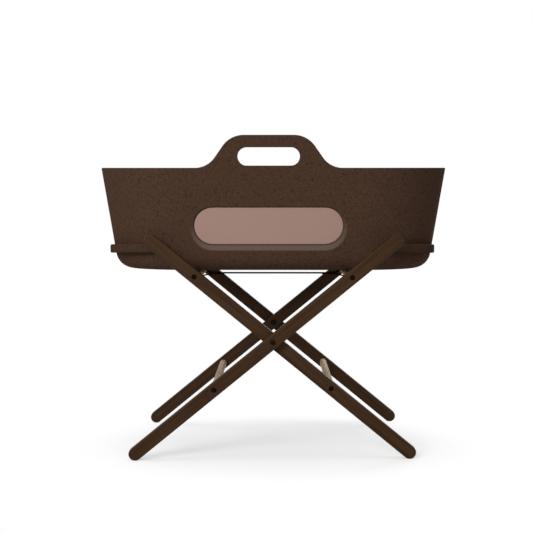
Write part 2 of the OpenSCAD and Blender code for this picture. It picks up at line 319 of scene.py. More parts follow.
@dataclass(frozen=True)
class FeltFinish:
    """Pressed felt: matted fibres, soft mottling, dark flecks, and a pale colour painted on the
    window bevels as painted light.
    """

    name: str = "felt"
    dark: Rgb = (0.0487, 0.0262, 0.0166)
    body: Rgb = (0.0630, 0.0342, 0.0219)
    pale: Rgb = (0.0764, 0.0424, 0.0277)
    fleck: Rgb = (0.0306, 0.0159, 0.0099)
    # Pale colour painted on the window bevels, strongest where they face up: painted light from
    # above.
    bevel: Rgb = (0.122, 0.082, 0.066)
    mottle_per_m: float = 190.0
    fleck_per_m: float = 170.0
    fibre_per_m: float = 800.0
    fibre_stretch: Triple = (1.0, 1.0, 0.32)

    def material(self) -> Material:
        """Makes the felt.

        Returns:
            The material.
        """
        bench = MaterialBench(self.name, Roughness=1.0, Specular_IOR_Level=0.04)
        mottle = bench.noise(bench.place(), self.mottle_per_m, detail=5.0, rough=0.62)
        fleck = bench.noise(bench.place(), self.fleck_per_m, detail=1.0, rough=0.5)
        fibre = bench.noise(
            bench.place(stretch=self.fibre_stretch), self.fibre_per_m,
            detail=3.0, rough=0.7, warp=1.4)
        colour = bench.ramp(mottle, {0.30: self.dark, 0.50: self.body, 0.70: self.pale})
        colour = bench.mix(bench.level(fibre, low=0.56, high=0.80, end=0.6), colour, self.pale)
        colour = bench.mix(bench.level(fibre, low=0.44, high=0.20, end=0.6), colour, self.dark)
        colour = bench.mix(bench.level(fleck, low=0.60, high=0.70, end=0.65), colour, self.fleck)
        # Painted light: the bevel mark mixes the pale colour onto the window bevels.
        bench.shade("Base Color", bench.mix(bench.mark("bevel"), colour, self.bevel))
        bench.relief(bench.sum(Sum.ADD, fibre, mottle), strength=0.35, depth=0.9 * MM)
        return bench.material


@dataclass(frozen=True)
class WoodFinish:
    """Satin wood with long grain and short dark pores."""

    name: str
    dark: Rgb
    body: Rgb
    pale: Rgb
    roughness: float
    gloss: float
    pore_share: float
    streaks_per_m: Triple = (5.0, 120.0, 120.0)
    pores_per_m: Triple = (35.0, 1100.0, 1100.0)

    def material(self, grain: Grain) -> Material:
        """Makes the wood.

        Args:
            grain: The way that the fibres run.

        Returns:
            The material.
        """
        bench = MaterialBench(
            f"{self.name}_{grain.name.lower()}",
            Roughness=self.roughness, Specular_IOR_Level=self.gloss)
        streak = bench.noise(
            bench.place(grain.value, self.streaks_per_m), 1.0, detail=7.0, rough=0.62, warp=0.5)
        pore = bench.noise(bench.place(grain.value, self.pores_per_m), 1.0, detail=2.0, rough=0.5)
        colour = bench.ramp(streak, {0.28: self.dark, 0.50: self.body, 0.74: self.pale})
        pores = bench.level(pore, low=0.58, high=0.72, end=self.pore_share)
        bench.shade("Base Color", bench.mix(pores, colour, self.dark))
        bench.relief(bench.sum(Sum.SUBTRACT, streak, pores), strength=0.2, depth=0.35 * MM)
        return bench.material


@dataclass(frozen=True)
class MetalFinish:
    """Metal with a fine uneven surface."""

    name: str
    colour: Rgb
    worn: Rgb
    metallic: float
    roughness: float
    gloss: float = 0.5
    patches_per_m: float = 420.0

    def material(self) -> Material:
        """Makes the metal.

        Returns:
            The material.
        """
        bench = MaterialBench(
            self.name, Metallic=self.metallic, Roughness=self.roughness,
            Specular_IOR_Level=self.gloss)
        patch = bench.noise(bench.place(), self.patches_per_m, detail=4.0, rough=0.6)
        wear = bench.level(patch, low=0.45, high=0.75)
        bench.shade("Base Color", bench.mix(wear, self.colour, self.worn))
        bench.relief(patch, strength=0.12, depth=0.15 * MM)
        return bench.material


@dataclass(frozen=True)
class BoardFinish:
    """Pressed fibre board, or another plain speckled stuff."""

    name: str
    colour: Rgb
    speck: Rgb
    roughness: float
    specks_per_m: float = 900.0

    def material(self) -> Material:
        """Makes the speckled stuff.

        Returns:
            The material.
        """
        bench = MaterialBench(self.name, Roughness=self.roughness)
        speck = bench.noise(bench.place(), self.specks_per_m, detail=3.0, rough=0.7)
        share = bench.level(speck, low=0.42, high=0.70)
        bench.shade("Base Color", bench.mix(share, self.colour, self.speck))
        bench.relief(speck, strength=0.2, depth=0.2 * MM)
        return bench.material


@dataclass(frozen=True)
class WebbingFinish:
    """Woven tape with ribs along its length and cross yarns."""

    body: Rgb = (0.014, 0.009, 0.005)
    high: Rgb = (0.040, 0.028, 0.020)
    rib: float = 2.1 * MM
    yarn: float = 1.3 * MM

    def material(self) -> Material:
        """Makes the tape.

        Returns:
            The material.
        """
        bench = MaterialBench("webbing", Roughness=0.85, Specular_IOR_Level=0.0)
        across = bench.add("SeparateXYZ", {0: bench.place()}).outputs["Y"]
        flat = bench.add("CombineXYZ", {"X": bench.mark("along"), "Y": across}).outputs[0]
        ribs = bench.bands(flat, self.rib, Axis.Y)
        yarns = bench.bands(flat, self.yarn, Axis.X, warp=0.4)
        weave = bench.sum(Sum.MULTIPLY, ribs, yarns)
        bench.shade("Base Color", bench.mix(weave, self.body, self.high))
        bench.relief(weave, strength=0.6, depth=0.5 * MM)
        return bench.material


@dataclass(frozen=True)
class ClothFinish:
    """Woven cloth with fine yarns and a slightly uneven dye."""

    name: str
    body: Rgb
    high: Rgb
    across: tuple[Axis, Axis] = (Axis.X, Axis.Z)
    yarn: float = 0.9 * MM
    weave_share: float = 0.55
    dye_share: float = 0.45
    dye_per_m: float = 60.0

    def material(self) -> Material:
        """Makes the cloth.

        Returns:
            The material.
        """
        bench = MaterialBench(self.name, Roughness=0.95, Specular_IOR_Level=0.1)
        first, second = (
            bench.bands(bench.place(), self.yarn, axis, warp=0.5) for axis in self.across)
        weave = bench.sum(Sum.MULTIPLY, first, second)
        dye = bench.noise(bench.place(), self.dye_per_m, detail=4.0, rough=0.6)
        uneven = bench.level(dye, low=0.35, high=0.65, end=self.dye_share)
        share = bench.sum(Sum.ADD, bench.sum(Sum.MULTIPLY, weave, self.weave_share), uneven)
        bench.shade("Base Color", bench.mix(share, self.body, self.high))
        bench.relief(weave, strength=0.35, depth=0.35 * MM)
        return bench.material


@dataclass(frozen=True)
class NetFinish:
    """Fine knitted net, paler yarn round small dark eyes."""

    yarn: Rgb = (0.370, 0.241, 0.199)
    eye: Rgb = (0.203, 0.129, 0.1055)
    pitch: float = 1.8 * MM
    slope: float = math.radians(60.0)

    def material(self) -> Material:
        """Makes the net.

        Returns:
            The material.
        """
        bench = MaterialBench("net", Roughness=0.9, Specular_IOR_Level=0.1)
        first, second = (
            bench.bands(bench.place((0.0, turn, 0.0)), self.pitch, Axis.X)
            for turn in (self.slope, -self.slope))
        eyes = bench.level(bench.sum(Sum.MULTIPLY, first, second), low=0.30, high=0.75)
        bench.shade("Base Color", bench.mix(eyes, self.yarn, self.eye))
        bench.relief(eyes, strength=-0.4, depth=0.4 * MM)
        return bench.material


class MeshDraft:
    """Gathers the points and faces of one piece and welds them into a mesh."""

    WELD = 2e-6

    def __init__(self) -> None:
        """Starts an empty draft."""
        self.points: list[Triple] = []
        self.faces: list[tuple[int, ...]] = []
        self.face_slots: list[int] = []
        self.marks: dict[str, list[float]] = {}

    def add_points(self, points: np.ndarray, **marks: Numbers) -> int:
        """Adds points.

        Args:
            points: An n by 3 array.
            marks: Numbers to store on the points, each one for all or one each.

        Returns:
            The index of the first new point.
        """
        first = len(self.points)
        self.points.extend(map(tuple, np.asarray(points, float)))
        for name, value in marks.items():
            stored = self.marks.setdefault(name, [])
            stored.extend([0.0] * (first - len(stored)))
            stored.extend(np.broadcast_to(np.asarray(value, float), len(points)))
        return first

    def add_faces(self, faces: Iterable[Sequence[int]], first: int = 0, slot: int = 0) -> None:
        """Adds faces.

        Args:
            faces: Indices of each face's points.
            first: A number added to every index.
            slot: The material's place in the piece's list.
        """
        for face in faces:
            self.faces.append(tuple(first + int(i) for i in face))
            self.face_slots.append(slot)

    def add_cap(self, row: np.ndarray, slot: int = 0, **marks: Numbers) -> None:
        """Adds one face over a closed row of points, and numbers to store on them."""
        self.add_faces([range(len(row))], self.add_points(row, **marks), slot)

    def add_grid(
            self, rows: Sequence[np.ndarray], closed: bool, slot: int = 0,
            **marks: Sequence[Numbers]) -> None:
        """Adds quads between rows of equally many points.

        Args:
            rows: The rows, each an n by 3 array.
            closed: Whether the last point of a row joins its first.
            slot: The material's place in the piece's list.
            marks: Numbers to store, one entry for each row.
        """
        width = len(rows[0])
        first = len(self.points)
        for i, row in enumerate(rows):
            self.add_points(row, **{name: values[i] for name, values in marks.items()})
        for i in range(len(rows) - 1):
            low, high = i * width, (i + 1) * width
            pairs = [(j, (j + 1) % width) for j in range(width if closed else width - 1)]
            self.add_faces([(low + j, low + k, high + k, high + j) for j, k in pairs], first, slot)

    def build(self, name: str, *materials: Material) -> Piece:
        """Welds the draft into an object with smooth faces that look outwards.

        Args:
            name: The object's name.
            materials: The piece's materials.

        Returns:
            The object.
        """
        mesh = bpy.data.meshes.new(name)
        mesh.from_pydata(self.points, [], self.faces)
        mesh.polygons.foreach_set("material_index", self.face_slots)
        for mark, values in self.marks.items():
            values.extend([0.0] * (len(self.points) - len(values)))
            mesh.attributes.new(mark, "FLOAT", "POINT").data.foreach_set("value", values)
        shape = bmesh.new()
        shape.from_mesh(mesh)
        bmesh.ops.remove_doubles(shape, verts=shape.verts, dist=self.WELD)
        bmesh.ops.dissolve_degenerate(shape, edges=shape.edges, dist=self.WELD / 2)
        bmesh.ops.recalc_face_normals(shape, faces=shape.faces)
        for face in shape.faces:
            face.smooth = True
        shape.to_mesh(mesh)
        shape.free()
        for material in materials:
            mesh.materials.append(material)
        piece = bpy.data.objects.new(name, mesh)
        bpy.context.scene.collection.objects.link(piece)
        return piece


def points_of(piece: Piece) -> np.ndarray:
    """Reads the points of a piece's mesh.

    Args:
        piece: The piece.

    Returns:
        An n by 3 array.
    """
    found = np.zeros(len(piece.data.vertices) * 3, np.float32)
    piece.data.vertices.foreach_get("co", found)
    return found.reshape(-1, 3).astype(float)


def dress(material: Material, *nodes: str) -> list[Piece]:
    """Gives solids of the frame a finish.

    Args:
        material: The finish.
        nodes: Names of the solids.

    Returns:
        The dressed solids.
    """
    pieces = [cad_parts[name] for name in nodes]
    for piece in pieces:
        piece.data.materials.clear()
        piece.data.materials.append(material)
    return pieces


def settle(piece: Piece, body: str, slot: str, *nodes: str) -> Piece:
    """Fixes a piece to a body and hides the solids that it replaces.

    Args:
        piece: The piece.
        body: The body that it rides on.
        slot: Not used.
        nodes: The solids that it replaces.

    Returns:
        The piece.
    """
    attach(piece, body)
    if nodes:
        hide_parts(*nodes)
    return piece


def inside_loop(points: np.ndarray, loop: np.ndarray) -> np.ndarray:
    """Tells which points lie inside a closed outline.

    Args:
        points: An n by 2 array.
        loop: The outline's corners, an m by 2 array.

    Returns:
        A truth value for each point.
    """
    x, y = points[:, :1], points[:, 1:2]
    following = np.roll(loop, -1, axis=0)
    rise = following[:, 1] - loop[:, 1]
    slope = (following[:, 0] - loop[:, 0]) / np.where(rise == 0, 1.0, rise)
    crosses = (loop[:, 1] > y) != (following[:, 1] > y)
    return (crosses & (x < loop[:, 0] + (y - loop[:, 1]) * slope)).sum(axis=1) % 2 == 1


def nearest(points: np.ndarray, others: np.ndarray) -> np.ndarray:
    """Gives each point's distance to the nearest of some others."""
    return np.linalg.norm(points[:, None, :] - others[None, :, :], axis=2).min(axis=1)


def within(points: np.ndarray, outline: np.ndarray, holes: Sequence[np.ndarray]) -> np.ndarray:
    """Tells which points lie in an outline and in none of its holes.

    Args:
        points: An n by 2 array.
        outline: The outline's corners, an m by 2 array.
        holes: The outlines of the holes.

    Returns:
        A truth value for each point.
    """
    found = inside_loop(points, outline)
    for hole in holes:
        found &= ~inside_loop(points, hole)
    return found


def fill_flat(
        outline: np.ndarray, holes: Sequence[np.ndarray],
        spacing: float) -> tuple[np.ndarray, np.ndarray]:
    """Fills a flat outline with even triangles, round its holes.

    Args:
        outline: The outline's corners, an n by 2 array.
        holes: The outlines of the holes.
        spacing: Distance between the points inside.

    Returns:
        The points and the triangles.
    """
    row_step, clear_of_rim = 0.866 * spacing, 0.55 * spacing
    edges: list[tuple[int, int]] = []
    for loop in (outline, *holes):
        first, count = len(edges), len(loop)
        edges.extend((first + i, first + (i + 1) % count) for i in range(count))
    rim = np.concatenate([outline, *holes])
    low, high = outline.min(axis=0) + spacing / 2, outline.max(axis=0)
    columns = np.arange(low[0], high[0], spacing)
    inner = np.array([
        (u + spacing / 2 * (i % 2), v)
        for i, v in enumerate(np.arange(low[1], high[1], row_step)) for u in columns])
    inner = inner[within(inner, outline, holes) & (nearest(inner, rim) > clear_of_rim)]
    flat = [Vector(p) for p in np.concatenate([rim, inner])]
    corners, _, faces, *_ = delaunay_2d_cdt(flat, edges, [], 0, TINY)
    points, triangles = np.array([tuple(p) for p in corners]), np.array(faces)
    return points, triangles[within(points[triangles].mean(axis=1), outline, holes)]


def into_right(path: np.ndarray) -> np.ndarray:
    """Gives unit vectors to the right of an open path.

    Args:
        path: An n by 2 array.

    Returns:
        One unit vector for each point.
    """
    along = np.gradient(path, axis=0)
    right = np.stack([along[:, 1], -along[:, 0]], axis=1)
    return right / np.linalg.norm(right, axis=1, keepdims=True)


def arc(centre: Sequence[float], radius: float, start: float, end: float, steps: int) -> np.ndarray:
    """Gives points along an arc.

    Args:
        centre: The arc's middle.
        radius: Its radius.
        start: Angle of the first point, in degrees.
        end: Angle of the last point, in degrees.
        steps: Number of stretches.

    Returns:
        An array of steps + 1 points.
    """
    angles = np.radians(np.linspace(start, end, steps + 1))
    x, y = centre[0] + radius * np.cos(angles), centre[1] + radius * np.sin(angles)
    return np.stack([x, y], axis=1)


def circle(sides: int) -> np.ndarray:
    """Gives the angles of even places on a circle, in radians."""
    return np.linspace(0.0, 2 * math.pi, sides + 1)[:-1]


def spread_along(path: np.ndarray, spacing: float) -> np.ndarray:
    """Adds points to the long stretches of a path.

    Args:
        path: An n by 2 array.
        spacing: The longest stretch that is left.

    Returns:
        The path with the points added.
    """
    pieces = [path[:1]]
    for start, end in zip(path[:-1], path[1:]):
        count = max(1, math.ceil(np.linalg.norm(end - start) / spacing))
        shares = np.arange(1, count + 1)[:, None] / count
        pieces.append(start + (end - start) * shares)
    return np.concatenate(pieces)


def slot_loop(width: float, height: float, centre: Pair) -> tuple[np.ndarray, np.ndarray]:
    """Gives a slot with round ends as a closed loop.

    Args:
        width: Width over the round ends.
        height: Height of the slot.
        centre: Its middle.

    Returns:
        The points, and unit vectors that look away from the slot.
    """
    end_steps, side_steps = 28, 24
    radius, half = height / 2, (width - height) / 2
    right = arc((half, 0.0), radius, -90.0, 90.0, end_steps)
    left = arc((-half, 0.0), radius, 90.0, 270.0, end_steps)
    shares = np.linspace(0.0, 1.0, side_steps + 1)[1:-1, None]
    top = right[-1] + (left[0] - right[-1]) * shares
    low = left[-1] + (right[0] - left[-1]) * shares
    loop = np.concatenate([right, top, left, low])
    core = np.stack([np.clip(loop[:, 0], -half, half), np.zeros(len(loop))], axis=1)
    return loop + np.asarray(centre), (loop - core) / radius


def edge_profile(thickness: float, radius: float, support: float) -> list[Pair]:
    """Gives the section of a rounded edge, from the outer face to the inner one.

    Args:
        thickness: Thickness of the wall.
        radius: Rounding of its two edges.
        support: Width of a flat strip beside the rounding.

    Returns:
        Pairs of the distance in from the edge and the depth.
    """
    steps, strip = 4, radius + support
    outer = arc((radius, radius), radius, 270.0, 180.0, steps)
    inner = arc((radius, thickness - radius), radius, 180.0, 90.0, steps)
    return [(strip, 0.0), *map(tuple, outer), *map(tuple, inner), (strip, thickness)]


def plan_places(end_x: float, columns: int, angles: int) -> tuple[np.ndarray, np.ndarray]:
    """Gives the X of places along a plan's sides, and the angles of those round its ends."""
    return np.linspace(-end_x, end_x, columns), np.linspace(-QUARTER, QUARTER, angles)


def level_ring(columns: np.ndarray, angles: np.ndarray, reach: float, z: float) -> np.ndarray:
    """Gives a level line round a plan with straight sides and round ends.

    Args:
        columns: X of the places along a side.
        angles: Angles of the places round an end.
        reach: Distance from the plan's middle line.
        z: Height.

    Returns:
        The points, each once.
    """
    foot, head, side = angles[:-1], angles[:0:-1], np.ones(len(columns) - 1)
    x = np.concatenate([
        columns[:-1], columns[-1] + reach * np.cos(foot),
        columns[:0:-1], columns[0] - reach * np.cos(head)])
    y = reach * np.concatenate([-side, np.sin(foot), side, np.sin(head)])
    return np.column_stack([x, y, np.full(len(x), z)])


def at_depth(line: np.ndarray, depth: float) -> np.ndarray:
    """Puts a line of (u, slant) at one depth in the wall."""
    return np.column_stack([line, np.full(len(line), depth)])


@dataclass(frozen=True)
class TubPlan:
    """Plan and section of the basket: straight sides, round ends and leaning walls."""

    end_x: float
    bend_radius: float
    floor_z: float
    flare: float = math.radians(9.55)
    bottom_radius: float = 42 * MM
    rim_height: float = 235 * MM
    end_rise: float = 8.5 * MM

    BOARD_GAP = 1 * MM

    @classmethod
    def from_frame(cls) -> "TubPlan":
        """Reads the plan from the base board and the felt shell of the frame."""
        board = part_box("base_board")[1]
        return cls(board.x - board.y, board.y + cls.BOARD_GAP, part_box("felt_shell")[0].z)

    @property
    def foot(self) -> Pair:
        """Reach and height of a wall's foot, where the round bottom edge begins."""
        lean = self.bottom_radius * math.cos(self.flare)
        return self.bend_radius + lean, self.bottom_radius * (1 - math.sin(self.flare))

    @property
    def half_way(self) -> float:
        """Distance round the walls' feet from the middle of the front to that of the rear."""
        return 2 * self.end_x + math.pi * self.foot[0]

    def slant(self, height: Numbers) -> Numbers:
        """Turns a height above the basket's bottom into a distance up the wall."""
        return (height - self.foot[1]) / math.cos(self.flare)

    def rim_slant(self, theta: np.ndarray) -> np.ndarray:
        """Gives the rim's distance up the wall round an end, where it rises a little."""
        return self.slant(self.rim_height + self.end_rise * (1 - np.abs(np.sin(theta))))

    def wall(self, slant: Numbers, depth: Numbers) -> tuple[Numbers, Numbers]:
        """Finds a place in the wall.

        Args:
            slant: Distance up the wall from its foot.
            depth: Distance in from the outside.

        Returns:
            The reach from the plan's middle line, and the height.
        """
        reach = self.foot[0] + slant * math.sin(self.flare) - depth * math.cos(self.flare)
        height = self.foot[1] + slant * math.cos(self.flare) + depth * math.sin(self.flare)
        return reach, self.floor_z + height

    def bend(self, share: float, depth: float) -> Pair:
        """Finds a place in the round bottom edge.

        Args:
            share: 0 at the wall's foot and 1 at the flat bottom.
            depth: Distance in from the outside.

        Returns:
            The reach and the height.
        """
        angle = -self.flare - share * (QUARTER - self.flare)
        radius = self.bottom_radius - depth
        reach = self.bend_radius + radius * math.cos(angle)
        return reach, self.floor_z + self.bottom_radius + radius * math.sin(angle)

    def side_wall(
            self, side: Side, u: np.ndarray, slant: np.ndarray, depth: Numbers) -> np.ndarray:
        """Places points in the wall of a long side, by their X, their slant and their depth."""
        reach, z = self.wall(slant, depth)
        return np.column_stack([u, side.value * reach, z])

    def end_wall(
            self, end: End, theta: np.ndarray, slant: np.ndarray, depth: Numbers) -> np.ndarray:
        """Places points in the wall of a round end.

        Args:
            end: The end.
            theta: Angles from the front to the rear, in radians.
            slant: Distance up the wall from its foot.
            depth: Distance in from the outside.

        Returns:
            An n by 3 array.
        """
        reach, z = self.wall(slant, depth)
        x = end.value * (self.end_x + reach * np.cos(theta))
        return np.column_stack([x, reach * np.sin(theta), z])


@dataclass
class Opening:
    """A hole in a long side, as rings of (u, slant, depth) from the outside to the inside."""

    rings: list[np.ndarray]
    # Shares of painted light for each ring: a paler colour painted where a window's bevel faces up.
    painted_light: list[np.ndarray] | None = None

    @classmethod
    def rounded(
            cls, loop: np.ndarray, away: np.ndarray, profile: Sequence[Pair],
            depth: float = 0.0) -> "Opening":
        """Gives a hole with round edges, from its outline and vectors that look away from it."""
        return cls([at_depth(loop + inset * away, depth + deep) for inset, deep in profile])


@dataclass
class TubSkin:
    """One layer of the basket: felt or liner, with its openings and its top edge."""

    plan: TubPlan
    outside: float
    inside: float
    edge: list[Pair]
    tops: dict[Side, np.ndarray]
    end_top: Callable[[np.ndarray], np.ndarray]
    openings: dict[Side, list[Opening]]
    spacing: float
    rows: int
    end_steps: int
    puff: Callable[[np.ndarray, np.ndarray], np.ndarray] | None = None
    puff_fade: float = 14 * MM
    draft: MeshDraft = field(default_factory=MeshDraft)

    BEND_ROWS = 11
    BOTTOM_SHARES = (0.8, 0.5, 0.25, 0.0)

    def __post_init__(self) -> None:
        """Works out the places that the sides, ends and bottom share."""
        count = math.ceil(2 * self.plan.end_x / self.spacing)
        self.columns, self.angles = plan_places(self.plan.end_x, count + 1, self.end_steps + 1)
        self.shares = np.linspace(0.0, 1.0, self.rows + 1)

    def swell(self, around: np.ndarray, slant: np.ndarray, room: np.ndarray) -> np.ndarray:
        """Gives how far the padding swells from the inner face, less where an edge is near."""
        fade = np.clip(np.minimum(slant, room) / self.puff_fade, 0.0, 1.0)
        return self.puff(around, slant) * fade * fade * (3 - 2 * fade)

    def side_top(self, side: Side, inset: float) -> np.ndarray:
        """Gives the top line of a long side, some way below the edge."""
        return self.tops[side] + inset * into_right(self.tops[side])

    def fill_sides(self, depth: float, face: Face, puffed: bool) -> None:
        """Fills one face of the long sides.

        Args:
            depth: The face's depth.
            face: The face, which tells the line that it meets at the edge and the openings.
            puffed: Whether the face is padded.
        """
        low = np.stack([self.columns, np.zeros(len(self.columns))], axis=1)
        for side in Side:
            top = self.side_top(side, self.edge[face.value][0])
            rise = self.shares[1:-1] * top[0, 1]
            right = np.stack([np.full(len(rise), self.plan.end_x), rise], axis=1)
            outline = np.concatenate([low, right, top[::-1], right[::-1] * (-1, 1)])
            holes = [opening.rings[face.value][:, :2] for opening in self.openings[side]]
            points, triangles = fill_flat(outline, holes, self.spacing)
            u, slant = points.T
            deep = np.full(len(points), depth)
            if puffed:
                room = nearest(points, np.concatenate([top[1:-1], *holes]))
                around = u if side is Side.FRONT else self.plan.half_way - u
                deep = deep + self.swell(around, slant, room)
            first = self.draft.add_points(self.plan.side_wall(side, u, slant, deep))
            self.draft.add_faces(triangles, first)

    def fill_ends(self, depth: float, face: Face, puffed: bool) -> None:
        """Fills one face of the round ends.

        Args:
            depth: The face's depth.
            face: The face, which tells the line that it meets at the edge.
            puffed: Whether the face is padded.
        """
        top = self.end_top(self.angles) - self.edge[face.value][0]
        around = self.plan.end_x + self.plan.foot[0] * (self.angles + QUARTER)
        for end in End:
            rows = []
            for slant in np.outer(self.shares, top):
                deep = np.full(len(slant), depth)
                if puffed:
                    deep = deep + self.swell(end.value * around, slant, top - slant)
                rows.append(self.plan.end_wall(end, self.angles, slant, deep))
            self.draft.add_grid(rows, closed=False)

    def fill_bottom(self, depth: float) -> None:
        """Fills the round bottom edge and the flat bottom at one depth.

        Args:
            depth: The face's depth.
        """
        plan = self.plan
        lines = [plan.bend(share, depth) for share in np.linspace(0.0, 1.0, self.BEND_ROWS)]
        lines += [(plan.bend_radius * share, plan.floor_z + depth) for share in self.BOTTOM_SHARES]
        rows = [level_ring(self.columns, self.angles, reach, z) for reach, z in lines]
        self.draft.add_grid(rows, closed=True)

    def top_ring(self, inset: float, depth: float) -> np.ndarray:
        """Gives one line along the top edge.

        Args:
            inset: Distance down from the edge, within the wall.
            depth: Distance in from the outside.

        Returns:
            The points, each once.
        """
        front, rear = (
            self.plan.side_wall(side, *self.side_top(side, inset).T, depth) for side in Side)
        slant = self.end_top(self.angles) - inset
        head, foot = (self.plan.end_wall(end, self.angles, slant, depth) for end in End)
        return np.concatenate([front[:-1], foot[:-1], rear[:0:-1], head[:0:-1]])

    def build(self, name: str, material: Material) -> Piece:
        """Builds the layer.

        Args:
            name: The piece's name.
            material: Its material.

        Returns:
            The piece.
        """
        for depth, face, puffed in (
                (self.outside, Face.OUTER, False),
                (self.inside, Face.INNER, self.puff is not None)):
            self.fill_sides(depth, face, puffed)
            self.fill_ends(depth, face, puffed)
            self.fill_bottom(depth)
        self.draft.add_grid([self.top_ring(a, self.outside + d) for a, d in self.edge], closed=True)
        for side in Side:
            for opening in self.openings[side]:
                rows = [self.plan.side_wall(side, *line.T) for line in opening.rings]
                # Window rings carry their shares of painted light; other openings get none.
                self.draft.add_grid(rows, closed=True, bevel=opening.painted_light or [0.0] * len(rows))
        return self.draft.build(name, material)


@dataclass(frozen=True)
class Grip:
    """A carrying grip that rises from the rim, with its hand-hole."""

    rise: float
    top_width: float
    hole_width: float
    hole_height: float
    sill: float
    lean: float = math.radians(35.3)
    shoulder: float = 59 * MM
    foot: float = 55 * MM

    SHOULDER_STEPS, FOOT_STEPS = 18, 16

    def edge(self) -> np.ndarray:
        """Gives the outline of the grip's right half above the rim.

        Returns:
            Points of (u, height) from the grip's middle to the rim.
        """
        turn = QUARTER - self.lean
        drop = self.rise - (self.shoulder + self.foot) * (1 - math.cos(turn))
        run = (self.shoulder + self.foot) * math.sin(turn) + drop * math.tan(self.lean)
        half, bend = self.top_width / 2, math.degrees(turn)
        top, low = (half, self.rise - self.shoulder), (half + run, self.foot)
        return np.concatenate([
            [(0.0, self.rise)],
            arc(top, self.shoulder, 90.0, 90.0 - bend, self.SHOULDER_STEPS),
            arc(low, self.foot, -90.0 - bend, -90.0, self.FOOT_STEPS),
        ])

    def top_line(self, plan: TubPlan, shift: float, spacing: float) -> np.ndarray:
        """Gives the top edge of a long side with this grip.

        Args:
            plan: The basket's plan.
            shift: The grip's place along X.
            spacing: The longest stretch.

        Returns:
            Points of (u, slant) along +X.
        """
        half = self.edge()
        right = np.concatenate([half, [(plan.end_x - shift, 0.0)]])
        left = np.concatenate([half, [(plan.end_x + shift, 0.0)]]) * (-1, 1)
        path = spread_along(np.concatenate([left[:0:-1], right]), spacing) + (shift, 0.0)
        return np.stack([path[:, 0], plan.slant(plan.rim_height + path[:, 1])], axis=1)


